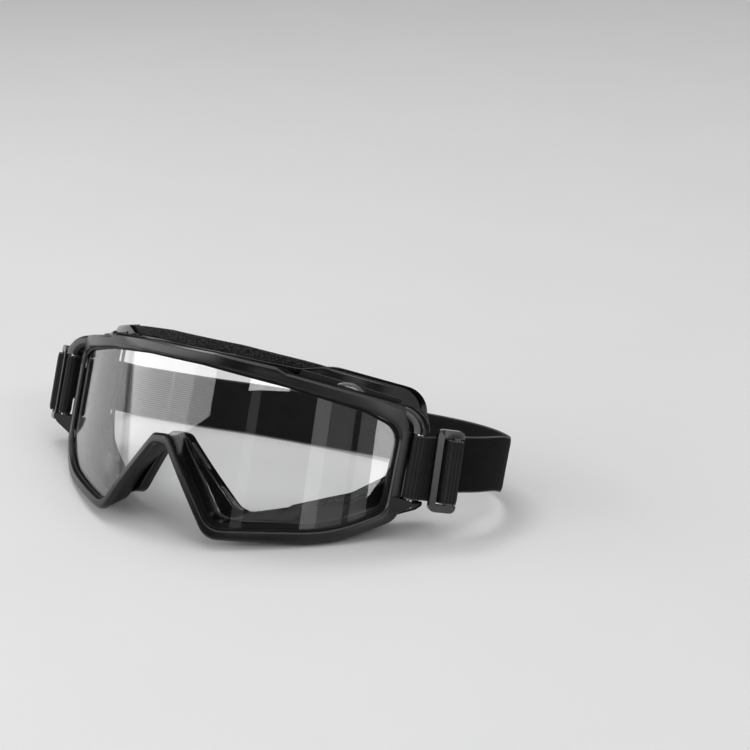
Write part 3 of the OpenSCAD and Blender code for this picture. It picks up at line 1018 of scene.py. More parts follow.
@dataclass
class LensUnit:
    """Bezel, sealing lip, lens and gasket."""

    front: Front
    wardrobe: Wardrobe
    lip_share: float = 0.15
    inner_height: float = 1.2
    inner_chamfer: float = 0.12
    face_share: float = 0.84
    outer_height: float = 0.95
    tongue_share: float = 0.5
    gasket_from: float = 0.03
    gasket_to: float = 0.56
    stations: int = 260

    def build(self) -> None:
        """Builds and dresses the four pieces."""
        dress = self.wardrobe.dress
        dress(self._bezel(), BEZEL, "bezel_plastic", ("front_bezel",))
        dress(self._lip(), GASKET, "gasket_rubber")
        dress(self._lens(), CLEAR, "clear_lens", ("lens",))
        dress(self._gasket(), GASKET, "gasket_rubber", ("lens_gasket",))

    def _bezel(self) -> bpy.types.Object:
        """Ring of a flat satin face between two slanted edges, each edge rounded over."""
        f, s = self.front, self.lip_share
        loops = [f.band(s, f.fit_gap), f.band(s, self.inner_height),
                 f.band(s + self.inner_chamfer, f.bezel_proud), f.band(self.face_share, f.bezel_proud),
                 f.band(1, self.outer_height), f.band(1, -f.bezel_skirt),
                 f.band(self.tongue_share, -f.bezel_skirt), f.band(self.tongue_share, f.fit_gap)]
        return piece("bezel_ring", f.ring(loops, (0, 0.2, 0.25, 0.3, 0.3, 0.2, 0, 0)))

    def _lip(self) -> bpy.types.Object:
        """Black bead of the gasket that shows between lens and bezel."""
        f, s = self.front, self.lip_share - 0.01
        loops = [f.band(0, f.fit_gap * 0.4), f.band(0, 0.75), f.band(s, 0.95), f.band(s, f.fit_gap * 0.4)]
        return piece("lens_lip", f.ring(loops, (0.1, 0.45, 0.3, 0.1)))

    def _lens(self) -> bpy.types.Object:
        """Sheet between its lower and upper edge at stations over s, both faces on the front curve."""
        f = self.front
        edge = f.opening + (f.rim - f.opening) * f.lens_reach
        right = edge[edge[:, 0] >= 0]
        half = right[:, 0].max() - 0.05
        upper = right[right[:, 1] > 3]
        lower = right[right[:, 1] <= 3]
        upper, lower = upper[np.argsort(upper[:, 0])], lower[np.argsort(lower[:, 0])]
        t = np.linspace(-1, 1, self.stations + 1)
        s = half * (0.35 * np.sin(np.pi / 2 * t) + 0.65 * t)
        top = np.interp(np.abs(s), upper[:, 0], upper[:, 1])
        low = np.interp(np.abs(s), lower[:, 0], lower[:, 1])
        rows = []
        for out, start, stop in ((-f.lens_seat, top, low), (f.lens_back, low, top)):
            for share in np.linspace(0, 1, 7):
                rows.append(f.curve.place(np.stack((s, start + (stop - start) * share), -1), out, 0.0))
        return piece("lens_shell", loft(f.pose.to_row(np.stack(rows)), False), Edge.CRISP)

    def _gasket(self) -> bpy.types.Object:
        """Rubber ring behind the lens edge."""
        f = self.front
        back = f.gasket_front - f.gasket_thickness
        loops = [f.band(self.gasket_from, f.gasket_front), f.band(self.gasket_to, f.gasket_front),
                 f.band(self.gasket_to, back), f.band(self.gasket_from, back)]
        return piece("gasket_ring", f.ring(loops, (0.5, 0.3, 0.3, 0.5)))


class Side(Enum):
    """Side of the goggles as seen from the front, with the sign of its x."""

    RIGHT = 1
    LEFT = -1

    @property
    def word(self) -> str:
        """Ending of the names on this side."""
        return self.name.lower()

    def mirrored(self, points: Array) -> Array:
        """Upright points drawn for the right, on this side."""
        return points * (self.value, 1, 1)


@dataclass
class Carrier:
    """Wall that runs back from the bezel, with a louvre over the air gap in each upper corner."""

    front: Front
    wardrobe: Wardrobe
    vent_from: float = 52.5
    vent_to: float = 99.0
    vent_lip: float = 2.4
    vent_seat: float = 0.25
    vent_arch: float = 3.4
    lip_bead: float = 0.32
    flange_share: float = 0.04
    knob_at: float = 0.5
    knob_reach: float = 0.14
    knob_back: float = 0.58
    knob_depth: float = 0.24
    knob_sunk: float = 0.2
    knob_height: float = 2.9
    knob_fall: float = 1.4
    knob_power: float = 0.7

    def build(self) -> None:
        """Builds and dresses the wall and both louvres."""
        dress = self.wardrobe.dress
        dress(self._wall(), CARRIER, "carrier_plastic", ("frame_body",))
        for side in Side:
            # The louvre wears the darker, duller gasket finish as painted shade of the vent recess.
            dress(self._louvre(side), GASKET, "carrier_plastic", (f"vent_cover_{side.word}",))
            # The crest bead wears the lighter, glossier bezel finish: its light line is partly gloss and
            # partly a painted highlight.
            dress(self._louvre_lip(side), BEZEL, "carrier_plastic")
            # The knob wears the lighter glossy finish as a painted highlight.
            dress(self._louvre_knob(side), GLOSS_PAINTED_HIGHLIGHT, "carrier_plastic")

    def _wall(self) -> bpy.types.Object:
        """Ring of an outer wall with a flange inside that carries the gasket."""
        f = self.front
        seat = -f.bezel_skirt - f.fit_gap
        loops = [f.band(f.carrier_inner, seat), f.band(f.carrier_outer, seat),
                 f.band(f.carrier_outer, f.flange_front, f.carrier_depth),
                 f.band(f.carrier_inner, f.flange_front, f.carrier_depth),
                 f.band(f.carrier_inner, f.flange_back), f.band(self.flange_share, f.flange_back),
                 f.band(self.flange_share, f.flange_front), f.band(f.carrier_inner, f.flange_front)]
        return piece("carrier_wall", f.ring(loops, (0, 0, 0.5, 0.3, 0, 0.4, 0.4, 0)))

    def _over_wall(self, share: Array, where: Union[float, Array], bulge: float, height: Union[float, Array]
                   ) -> Array:
        """Points over the upper edge of the wall.

        Args:
            share: 0 to 1 along the louvre, away from the middle.
            where: 0 at the bezel and 1 at the rear edge of the wall.
            bulge: share of the backward arch.
            height: height over the wall.

        Returns:
            Upright points.
        """
        f = self.front
        wall = f.opening + (f.rim - f.opening) * f.carrier_outer
        top = wall[(wall[:, 0] > 0) & (wall[:, 1] > 20)]
        top = top[np.argsort(top[:, 0])]
        s = self.vent_from + (self.vent_to - self.vent_from) * share
        z = np.interp(s, top[:, 0], top[:, 1]) + self.vent_seat
        arch = np.sin(np.pi * np.clip(share, 0, 1)) ** 0.7
        depth = (f.bezel_skirt + f.fit_gap) * (1 - where) + (f.carrier_depth - f.flange_front) * where
        return f.curve.place(np.stack((s, z + height), -1), 0.0, depth + self.vent_arch * bulge * arch)

    def _lip_height(self, share: Array) -> Array:
        """Height of the raised lip, lower away from the middle."""
        return self.vent_lip * (1 - 0.45 * share)

    def _louvre_lip(self, side: Side) -> bpy.types.Object:
        """Bead along the crest of the lip: a circle carried along it."""
        f = self.front
        share = np.linspace(0.01, 0.99, 90)
        crest = self._over_wall(share, 0.7, 0.85, self._lip_height(share) + 0.05)
        grid = tube(crest, self.lip_bead)
        return piece(f"vent_lip_{side.word}", loft(f.pose.to_row(side.mirrored(grid)), False))

    def _louvre_knob(self, side: Side) -> bpy.types.Object:
        """Glossy rise on the lip, lighter in colour as a painted highlight: rounded oblong rings that narrow
        upwards, higher towards their middle.
        """
        f = self.front
        a = np.linspace(0, 2 * np.pi, 40, endpoint=False)[:, None]
        h = np.linspace(0, 1, 14)[None, :]
        flat = (1 - h ** 3) ** (1 / 2.2) + 0.01
        share = self.knob_at + self.knob_reach * flat * waved(a, np.cos, self.knob_power)
        where = self.knob_back + self.knob_depth * flat * waved(a, np.sin, self.knob_power)
        height = self.knob_sunk + (self.knob_height - self.knob_fall * flat ** 2) * h + 0 * a
        grid = self._over_wall(share.ravel(), where.ravel(), 0.7, height.ravel()).reshape(*share.shape, 3)
        return piece(f"vent_knob_{side.word}", loft(f.pose.to_row(side.mirrored(grid)), False))

    def _louvre(self, side: Side) -> bpy.types.Object:
        """Strip over the wall with a raised lip that arches back, its profile carried along the top edge."""
        f = self.front
        share = np.linspace(0, 1, 90)
        lip = self._lip_height(share)
        section = ((0.02, 0, 0), (0.02, 0, 0.3), (0.3, 0.2, 0.3), (0.6, 0.8, 0.4), (0.66, 0.85, lip),
                   (0.74, 0.85, lip), (0.78, 0.85, lip * 0.4), (0.7, 0.3, 0))
        rows = [self._over_wall(share, where, bulge, height) for where, bulge, height in section]
        grid = soften(rows, (0, 0.15, 0.5, 0.5, 0.15, 0.15, 0.3, 0.1))
        return piece(f"vent_louvre_{side.word}", loft(f.pose.to_row(side.mirrored(grid)), False),
                     Edge.CRISP)


@dataclass
class FaceSide:
    """Soft rubber skirt with the foam that meets the face."""

    front: Front
    wardrobe: Wardrobe
    base_outer: float = 0.58
    base_inner: float = 0.3
    pad_inner: float = -0.09
    fold: float = 1.3
    curtain_end: float = 0.14
    cover_end: float = 0.28
    bead_radius: float = 0.45
    bead_share: float = -0.13
    beads: tuple[tuple[str, tuple[float, float], tuple[float, float]], ...] = (
        ("upper", (-11.5, -2.0), (0.05, 0.3)), ("lower", (-28.5, -18.0), (0.02, 0.3)))
    apron_from: float = 50.0
    apron_top: float = 2.0
    apron_reach: float = 0.42
    apron_root: float = -0.12

    def build(self) -> None:
        """Builds and dresses the skirt, its beads, the foam pad and its facings."""
        self.wardrobe.dress(self._skirt(), RUBBER, "skirt_rubber", ("face_skirt",))
        for side in Side:
            for word, levels, shares in self.beads:
                bead = self._bead(f"skirt_bead_{word}_{side.word}", side, levels, shares)
                # The beads wear a lighter glossy finish than the black skirt: painted highlight.
                self.wardrobe.dress(bead, GLOSS_PAINTED_HIGHLIGHT, "skirt_rubber")
        foam = self._foam()
        self.wardrobe.dress(foam, FOAM, "face_foam", ("face_foam",))
        for side in Side:
            self.wardrobe.dress(self._apron(side), FOAM, "face_foam")

    def _apron(self, side: Side) -> bpy.types.Object:
        """Thin foam facing that runs from the pad down the inside of the skirt below the eye.

        Its four edges lie on straight lines from the foam's root to the carrier, each at its own share of
        the way and its own height over the skirt.
        """
        f = self.front
        flat = f.foam_inner
        part = np.flatnonzero((flat[:, 0] > self.apron_from) & (flat[:, 1] < self.apron_top))
        part = part[np.argsort(np.arctan2(flat[part, 1] - 20, flat[part, 0] - 60))]
        root = f.foam(self.pad_inner, 1.0)[part]
        foot = f.band(self.base_inner, f.flange_front, f.carrier_depth)[part]
        lift = f.foam(-0.14, 1.0)[part] - root
        lift /= np.linalg.norm(lift, axis=1, keepdims=True)
        front = np.array((0, -1.0, 0))
        reach = self.apron_reach * np.sin(np.pi * np.linspace(0, 1, len(part)) ** 0.8)[:, None]
        section = ((self.apron_root, 0.1), (self.apron_root, 0.9), (reach, 0.75), (reach, 0.05))
        rows = [root + (foot - root) * share + (lift + front) * height for share, height in section]
        grid = soften(rows, (0.2, 0.5, 0.4, 0.1))
        return piece(f"foam_apron_{side.word}", loft(f.pose.to_row(side.mirrored(grid)), False))

    def _bead(self, name: str, side: Side, levels: tuple[float, float], shares: tuple[float, float]
              ) -> bpy.types.Object:
        """Raised oblong line on the skirt beside the nose: a circle carried round a superellipse of power 4.

        Args:
            name: name of the bead.
            side: side of the nose.
            levels: lower and upper end on the nose leg.
            shares: reach between the carrier and the foam.

        Returns:
            The piece.
        """
        f = self.front
        root, rim = f.foam(self.bead_share, self.fold), f.foam(self.bead_share, self.curtain_end)
        leg = (f.foam_inner[:, 0] > 0) & (f.foam_inner[:, 0] < 34) & (f.foam_inner[:, 1] < 1)
        order = np.argsort(f.foam_inner[leg, 1])
        height = f.foam_inner[leg, 1][order]
        a = np.linspace(0, 2 * np.pi, 72, endpoint=False)
        level = np.mean(levels) + (levels[1] - levels[0]) / 2 * waved(a, np.cos, 0.5)
        share = np.mean(shares) + (shares[1] - shares[0]) / 2 * waved(a, np.sin, 0.5)
        path = np.stack([np.interp(level, height, root[leg][order, k]) * (1 - share)
                         + np.interp(level, height, rim[leg][order, k]) * share for k in range(3)], -1)
        return piece(name, loft(f.pose.to_row(side.mirrored(tube(path, self.bead_radius, True))), True))

    def _skirt(self) -> bpy.types.Object:
        """Thin ring wall from the carrier to the foam, with rounded folds."""
        f = self.front
        root, wall = f.flange_back - f.fit_gap, f.carrier_depth
        seat = np.array((0, f.foam_seat, 0))
        inner = f.skirt_reach
        rim = 1 + (self.cover_end - 1) * f.cover
        lip = 1.02 + (self.curtain_end - 1.02) * f.curtain
        loops = [f.band(self.base_outer, root, 0.2),
                 f.band(self.base_outer, f.flange_front, wall + 0.4), f.skirt_edge(1.32),
                 f.foam(inner + (1.13 - inner) * f.cover, rim) - seat,
                 f.foam(inner + (0.99 - inner) * f.cover, rim) - seat,
                 f.foam(0.9 * inner, 1) - seat, f.foam(0.12, 1) - seat, f.foam(0.10, lip),
                 f.foam(self.pad_inner, lip), f.foam(self.pad_inner, self.fold),
                 f.band(self.base_inner, f.flange_front, wall), f.band(self.base_inner, root, 0.2)]
        radii = (0.3, 1.2, 1.5, 0.5, 0.3, 0.3, 0.3, 0.4, 0.6, 1.5, 2.0, 0.3)
        return piece("skirt_shell", f.ring(loops, radii, 5))

    def _foam(self) -> bpy.types.Object:
        """Crowned ring of foam: its sides bulge between root and face."""
        f = self.front
        section = ((0, 1), (1, 1), (1.03, 0.55), (0.92, 0.08), (0.7, 0), (0.3, 0), (0.06, 0.1), (-0.04, 0.5))
        loops = [f.foam(share, back) for share, back in section]
        return piece("foam_pad", f.ring(loops, (0.3, 0.3, 1.6, 0.9, 1.4, 1.4, 0.9, 1.6)))


# Anchors, webbing and headband


@dataclass
class Anchor:
    """Bracket beside the frame: a hooked upper arm, a three-cornered foot and the plate that joins them."""

    front: Front
    wardrobe: Wardrobe
    side: Side
    post_x: float = 98.5
    post_y: float = 54.3
    radius: float = 3.4
    strap_z: float = 6.8
    webbing_width: float = 28.6
    arm_play: float = 0.6
    arm_rise: float = 9.0
    arm_thickness: float = 4.6
    boss_height: float = 3.2
    boss_bore: float = 1.66
    anchor_start: float = 5.3
    anchor_length: float = 10.7
    plate: float = 1.9
    ear_x: float = 88.6
    ear_y: float = 54.4
    ear_rise: float = 11.2
    ear_thickness: float = 5.8
    ear_span: tuple[float, float] = (-3.4, 3.8)
    foot_span: tuple[float, float] = (-3.3, 5.6)

    @property
    def low(self) -> float:
        """Height of the lower arm's upper face."""
        return self.strap_z - self.webbing_width / 2 - self.arm_play

    @property
    def high(self) -> float:
        """Height of the upper arm's lower face at the post."""
        return self.strap_z + self.webbing_width / 2 + self.arm_play

    def wall_at(self, y: Union[float, Array]) -> Union[float, Array]:
        """Distance of the carrier wall's outer face from the middle plane at depth y."""
        f = self.front
        s = (f.opening + (f.rim - f.opening) * f.carrier_outer)[:, 0].max()
        a = f.curve.place(np.array((s, 0.0)), -f.bezel_skirt - f.fit_gap, 0.0)
        b = f.curve.place(np.array((s, 0.0)), f.flange_front, f.carrier_depth)
        return a[0] + f.fit_gap + (b[0] - a[0]) * (y - a[1]) / (b[1] - a[1])

    @property
    def wall_root(self) -> Array:
        """Plan place on the carrier wall where the upper arm starts."""
        y = self.post_y + self.anchor_length - 1
        return np.array((self.wall_at(y), y, 0.0))

    @property
    def ear_root(self) -> Array:
        """Plan place behind the bezel's corner where the ear and the lower arm start."""
        return np.array((self.ear_x, self.ear_y, 0.0))

    def _to_post(self, root: Array) -> tuple[Array, Array, float]:
        """Direction from a root to the post, the direction beside it and the distance."""
        way = np.array((self.post_x, self.post_y, 0.0)) - root
        length = float(np.linalg.norm(way))
        way /= length
        return way, np.array((-way[1], way[0], 0.0)), length

    def _row(self, points: Array) -> Array:
        """Upright points of the right bracket, in the row frame on this side."""
        return self.front.pose.to_row(self.side.mirrored(points))

    def build(self) -> None:
        """Builds and dresses the pieces of the bracket and its steel post."""
        node = f"strap_anchor_{self.side.word}"
        rear = self._hook("hook_arm", self.wall_root, self.arm_rise, self.arm_thickness,
                          (-self.radius * 0.65, self.radius))
        for obj in (rear, self._foot(), self._plate(), self._boss()):
            self.wardrobe.dress(obj, CARRIER, "carrier_plastic", (node,))
        ear = self._hook("bezel_ear", self.ear_root, self.ear_rise, self.ear_thickness, self.ear_span)
        self.wardrobe.dress(ear, BEZEL, "carrier_plastic", (node,))
        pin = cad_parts[f"post_pin_{self.side.word}"]
        pin.data.materials.clear()
        pin.data.materials.append(self.wardrobe.material(STEEL))

    def _hook(self, name: str, root: Array, rise: float, thickness: float, span: tuple[float, float]
              ) -> bpy.types.Object:
        """Arm with a rounded section, carried along a quarter ellipse from its root down to the post.

        The outer and inner edge are quarter ellipses; the section between them is a superellipse of
        power 3, half as high as their distance.

        Args:
            name: name of the piece without its side.
            root: plan place of its root.
            rise: height of its upper edge over its end.
            thickness: thickness at the root.
            span: reach of the section to both sides of the plane.

        Returns:
            The piece.
        """
        way, beside, length = self._to_post(root)
        t = np.linspace(0, np.pi / 2, 40)
        tip = length + self.radius
        outer = np.stack((-1.0 + (tip + 1.0) * np.sin(t), self.high + rise * np.cos(t)), -1)
        inner = np.stack((-1.0 + (tip + 1.0 - 2 * self.radius) * np.sin(t),
                          self.high + (rise - thickness) * np.cos(t)), -1)
        middle, reach = (outer + inner) / 2, (outer - inner) / 2
        a = np.linspace(0, 2 * np.pi, 36, endpoint=False)[:, None]
        flat = middle[None] + reach[None] * waved(a, np.cos, 2 / 3)[..., None]
        across = sum(span) / 2 + (span[1] - span[0]) / 2 * waved(a, np.sin, 2 / 3) + 0 * flat[..., 0]
        points = (root + flat[..., :1] * way + across[..., None] * beside
                  + flat[..., 1:] * np.array((0, 0, 1.0)))
        return piece(f"{name}_{self.side.word}", loft(self._row(points), False), Edge.CRISP)

    def _foot(self) -> bpy.types.Object:
        """Three-cornered lower arm, a plate of straight sides from the ear's root to the post."""
        way, beside, _ = self._to_post(self.ear_root)
        tip = self.post_x - self.ear_x + self.radius - 0.2
        corners = np.array(((0.6, self.low - 0.2), (tip, self.low - 0.4), (tip, self.low - 1.4),
                            (tip - 2.4, self.low - 3.6), (0.6, self.low - self.arm_rise + 0.6)))
        face = self.ear_root + corners[:, :1] * way + corners[:, 1:] * np.array((0, 0, 1.0))
        grid = np.stack([face + beside * out for out in self.foot_span], 1)
        return bevelled(piece(f"foot_arm_{self.side.word}", loft(self._row(grid), False)), 0.6)

    def _plate(self) -> bpy.types.Object:
        """Upright plate along the carrier wall."""
        start, stop = self.post_y + self.anchor_start, self.post_y + self.anchor_length
        near, far = self.wall_at(start), self.wall_at(stop)
        x = np.array((near, near + self.plate, far + self.plate, far))
        y = np.array((start, start + 0.6, stop, stop))
        levels = (self.low - self.boss_height, self.high + self.arm_rise - 1)
        grid = np.stack([np.stack((x, y, np.full(4, z)), -1) for z in levels]).transpose(1, 0, 2)
        return bevelled(piece(f"wall_plate_{self.side.word}", loft(self._row(grid), False)), 0.4)

    def _boss(self) -> bpy.types.Object:
        """Round boss over the post, a turned profile with rounded rims and a bore."""
        r, bore, base = self.radius - 0.25, self.boss_bore, self.high + 0.3
        top = base + self.boss_height - 0.3
        profile = ((bore, base), (r, base), (r, top), (bore, top))
        a = np.linspace(0, 2 * np.pi, 48, endpoint=False)
        loops = [np.stack((self.post_x + radius * np.cos(a), self.post_y + radius * np.sin(a),
                           np.full_like(a, z)), -1) for radius, z in profile]
        grid = soften(loops, (0.15, 0.4, 0.4, 0.15), 3)
        return piece(f"upper_boss_{self.side.word}", loft(self._row(grid), True), Edge.CRISP)


@dataclass
class StrapEnd:
    """Webbing loop round the post with the adjuster that it is folded through."""

    anchor: Anchor
    tilt: float
    strap_angle: float = 44.0
    post_radius: float = 1.6
    post_gap: float = 0.08
    webbing_thickness: float = 1.3
    band_thickness: float = 1.7
    slider_length: float = 12.2
    slider_end: float = 3.4
    slider_thickness: float = 3.6
    slider_bar: float = 2.9
    window_play: float = 0.7
    slider_near: float = 7.7
    slider_gap: float = 0.4
    slider_back: float = -0.2
    slider_round: float = 2.6

    @property
    def half(self) -> float:
        """Half of the webbing's thickness."""
        return self.webbing_thickness / 2

    @property
    def under(self) -> float:
        """Depth of the webbing layer under the adjuster."""
        return self.slider_back + self.slider_gap + self.half

    @property
    def over(self) -> float:
        """Depth of the webbing layer over the far bar."""
        return -self.slider_thickness + self.slider_back - self.slider_gap - self.half

    @property
    def far_bar(self) -> float:
        """Distance of the far bar's outer edge from the post."""
        return self.slider_near + self.slider_length - self.webbing_thickness - self.slider_gap

    @property
    def main_y(self) -> float:
        """Depth of the headband's middle beside the adjuster."""
        return self.under + self.half + self.slider_gap + self.band_thickness / 2

    def on_strap(self, points: Array) -> Array:
        """Carries (along, depth, height) at the post into the upright drawing, on this side.

        Args:
            points: points in the frame of the strap.

        Returns:
            Upright points.
        """
        a = np.radians(self.strap_angle)
        u, v, z = points[..., 0], points[..., 1], points[..., 2]
        placed = np.stack((self.anchor.post_x + u * np.cos(a) - v * np.sin(a),
                           self.anchor.post_y + u * np.sin(a) + v * np.cos(a), z), -1)
        return self.anchor.side.mirrored(placed)

    def to_row(self, points: Array) -> Array:
        """Carries (along, depth, height) at the post into the row frame."""
        return self.anchor.front.pose.to_row(self.on_strap(points))

    def build(self) -> None:
        """Builds and dresses the loop and the adjuster."""
        word = self.anchor.side.word
        loop = self._loop()
        self.anchor.wardrobe.dress(loop, WEBBING, "webbing", (f"strap_loop_{word}",), None)
        near, far = self.to_row(np.array(((2.5, 0, self.anchor.strap_z),
                                          (self.slider_near - 0.5, 0, self.anchor.strap_z))))
        tuple(near)
        tuple(far)
        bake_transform(loop)
        self.anchor.wardrobe.dress(self._adjuster(), ADJUSTER, "slider_plastic", (f"slider_{word}",),
                                   f"slider_{word}")

    @property
    def loop_mid(self) -> float:
        """Radius of the webbing's middle round the post."""
        return self.post_radius + self.post_gap + self.half

    def _arc(self, centre: tuple[float, float], radius: float, start: float, stop: float, count: int
             ) -> Array:
        """Points of an arc in the plan of the strap, angles in degrees."""
        t = np.radians(np.linspace(start, stop, count))
        return np.stack((centre[0] + radius * np.cos(t), centre[1] + radius * np.sin(t)), -1)

    def _route(self) -> Array:
        """Plan route of the webbing: behind the adjuster, round the post and round the far bar."""
        mid = self.loop_mid
        fold = self.half + self.slider_gap
        near, bar, far = self.slider_near, self.slider_bar, self.far_bar
        keys = np.vstack((
            ((far - 2, self.main_y), (near + 2, self.main_y), (near - 1.5, self.main_y - 0.05), (3, mid),
             (1, mid - 0.02)),
            self._arc((0, 0), mid, 90, 270, 9),
            ((1.6, 0.15 - mid), (near - 2.6, self.under - 0.35), (near - 1.2, self.under),
             (near + bar + 0.4, self.under), (far - bar - 1.5, self.over + 0.5),
             (far - bar - 0.4, self.over)),
            self._arc((far, self.over + fold), fold, -90, 0, 4),
            self._arc((far, self.under - fold), fold, 0, 90, 4),
            ((near + bar + 3.8, self.under),)))
        return spline(keys, 5)

    def _loop(self) -> bpy.types.Object:
        """Flat webbing of rounded section along its route, turned with the adjuster beyond the post."""
        route = self._route()
        u, n = route[:, 0], sides(route) * self.half
        mid = self.loop_mid
        slope = np.radians(self.tilt)
        climb = np.tan(slope) * np.maximum(0, u - mid)
        width = self.anchor.webbing_width
        turn = width / 2 * np.sin(slope) * np.clip((u - mid) / (self.slider_near - mid), 0, 1)
        across, side = flat_section(15, (0.45,))
        z = 2 * across - 1
        grid = np.stack((u + n[:, 0] * side - turn * z, route[:, 1] + n[:, 1] * side,
                         self.anchor.strap_z + climb + z * width / 2 + 0 * u), -1)
        length = lengths(route)
        uv = np.stack((length + 0 * across, across * width + 0 * length), -1)
        return piece(f"webbing_loop_{self.anchor.side.word}", loft(self.to_row(grid), False, uv), Edge.CRISP)

    def _adjuster_loops(self) -> tuple[Array, Array]:
        """Outline of the adjuster with its notch, and its window, about its middle.

        Returns:
            Both loops of (along, height), point for point.
        """
        window = self.anchor.webbing_width + 2 * self.window_play
        half_h, half_w, top = window / 2, self.slider_length / 2, window / 2 + self.slider_end
        notch = self.webbing_thickness + self.slider_gap
        inner_l, inner_r = -half_w + self.slider_bar, half_w - notch - self.slider_bar
        corner = np.array([(np.cos(t), np.sin(t)) for t in np.radians(np.linspace(90, 0, 5))])
        r = self.slider_round
        outer_q = np.vstack((
            ((inner_l, top), (0.0, top)),
            np.array((half_w - r, top - r)) + corner * r,
            ((half_w, half_h), (half_w - notch, half_h), (half_w - notch, 0.0))))
        inner_q = np.vstack((((inner_l, half_h), (0.0, half_h)), np.tile((inner_r, half_h), (7, 1)),
                             ((inner_r, 0.0),)))
        left_o = np.vstack((((-half_w, 0.0), (-half_w, half_h)),
                            np.array((-half_w + r, top - r)) + corner[::-1] * (-r, r)))
        left_i = np.vstack(((inner_l, 0.0), np.tile((inner_l, half_h), (6, 1))))
        halves = np.vstack((left_o, outer_q)), np.vstack((left_i, inner_q))
        outer, inner = (np.vstack((half, half[-2:0:-1] * (1, -1))) for half in halves)
        return outer, inner

    def _adjuster(self) -> bpy.types.Object:
        """Frame of two bars: an outline with a notch and a window, thick and rounded over."""
        outer, inner = self._adjuster_loops()
        a = np.radians(-self.tilt)
        rows = []
        back, front = self.slider_back, self.slider_back - self.slider_thickness
        for loop, depth in ((outer, back), (outer, front), (inner, front), (inner, back)):
            x, z = loop[:, 0] + self.slider_near + self.slider_length / 2, loop[:, 1]
            rows.append(np.stack((x * np.cos(a) + z * np.sin(a), np.full_like(x, depth),
                                  z * np.cos(a) - x * np.sin(a) + self.anchor.strap_z), -1))
        obj = piece(f"adjuster_{self.anchor.side.word}", loft(self.to_row(np.stack(rows)), True))
        weld = obj.modifiers.new("weld", "WELD")
        weld.merge_threshold = 1e-5
        return bevelled(obj, 0.5, 3)


@dataclass
class Headband:
    """Woven elastic from one adjuster round the back to the other."""

    right: StrapEnd
    left: StrapEnd
    wardrobe: Wardrobe
    width: float = 25.4
    rise: float = 3.2
    lap: float = 0.8
    free: float = 3.5
    sewn_run: float = 11.0
    swing_run: float = 46.0
    ripple: float = 0.12
    keys: tuple[tuple[float, float, float], ...] = (
        (117.5, 80, 16.1), (119.5, 92, 12.9), (117.5, 104, 8), (111, 113.5, 5), (100, 119.5, 3.8),
        (84, 122.5, 3.2), (60, 123.5, 2.4), (30, 124, 1.2), (0, 122.5, 0.3), (-30, 119, 0), (-60, 114, 0),
        (-88, 110.5, 0), (-106, 107.5, 1), (-115, 101, 4), (-119.4, 91, 9), (-117.4, 80, 14.5))

    def _end(self, end: StrapEnd, along: float, depth: float) -> tuple[float, float, float]:
        """Key beside an adjuster: plan place and height of the lower edge over the table."""
        tilt = np.radians(end.tilt)
        z = (end.anchor.strap_z + self.rise - self.width / 2 + end.far_bar * np.sin(tilt)
             + max(0.0, along - end.far_bar) * np.sin(tilt))
        x, y, _ = end.on_strap(np.array((along, end.main_y + depth, z)))
        lean = np.radians(end.anchor.front.pose.lean)
        return x, y, z * np.cos(lean) - y * np.sin(lean) + end.anchor.front.pose.lift

    def build(self) -> None:
        """Builds the band as five runs that meet; the back run rides on the frame, the others on no body."""
        first, last = ([self._end(end, end.far_bar - self.lap, 0.1),
                        self._end(end, end.far_bar + self.free, 0.3)] for end in (self.right, self.left))
        keys = np.array([*first, *self.keys, *last[::-1]])
        route = spline(keys, 24)
        length = lengths(route)
        whole = length[-1]
        cuts = (0.0, self.sewn_run, self.swing_run, whole - self.swing_run, whole - self.sewn_run, whole)
        names = ("band_sewn_right", "band_swing_right", "band_back", "band_swing_left", "band_sewn_left")
        index = [int(np.argmin(np.abs(length - c))) for c in cuts]
        grid, uv = self._grid(route, length)
        for k, name in enumerate(names):
            a, b = index[k], index[k + 1] + 1
            obj = piece(name, loft(grid[:, a:b], False, uv[:, a:b]), Edge.CRISP)
            side = name.rsplit("_", 1)[1]
            body = "goggle_frame" if name == "band_back" else None
            self.wardrobe.dress(obj, ELASTIC, "elastic", ("headband",), body)
            if body is None:
                near, far = (a, b - 1) if side == "right" else (b - 1, a)
                self._bend(obj, grid, near, far)

    def _bend(self, obj: bpy.types.Object, grid: Array, first: int, last: int) -> None:
        """Writes the placement of one run into its mesh.

        Args:
            obj: the run.
            grid: all points of the band; not used.
            first: place of the run's end towards the adjuster; not used.
            last: place of its end towards the back; not used.
        """
        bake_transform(obj)

    def _grid(self, route: Array, length: Array) -> tuple[Array, Array]:
        """Section of the band along its route: thin, upright, with rounded edges and a faint ripple.

        Args:
            route: route of (x, y, height over the table).
            length: length up to each point.

        Returns:
            Points in the row frame and coordinates on the surface, both section by route.
        """
        pose = self.right.anchor.front.pose
        lean = np.radians(pose.lean)
        thick = self.right.band_thickness
        touch = thick / 2 * np.sin(lean) + 0.02
        n = sides(route) * thick / 2
        low = (route[:, 1] * np.sin(lean) - pose.lift + np.maximum(touch, route[:, 2])) / np.cos(lean)
        across, side = flat_section(17, (0.4, 0.88))
        ripple = self.ripple * np.sin(length / 3.1) * np.sin(np.pi * across)
        grid = np.stack((route[:, 0] + n[:, 0] * (side + ripple), route[:, 1] + n[:, 1] * (side + ripple),
                         low + self.width * across), -1)
        uv = np.stack((length + 0 * across, self.width * across + 0 * length), -1)
        return pose.to_row(grid), uv


# Floor, light and camera


def rectangle(name: str, width: float, height: float) -> bpy.types.Mesh:
    """Flat rectangle about the origin.

    Args:
        name: name of the mesh.
        width: size along x.
        height: size along y.

    Returns:
        The new mesh.
    """
    mesh = bpy.data.meshes.new(name)
    w, h = width / 2, height / 2
    mesh.from_pydata([(-w, -h, 0), (w, -h, 0), (w, h, 0), (-w, h, 0)], [], [(0, 1, 2, 3)])
    return mesh


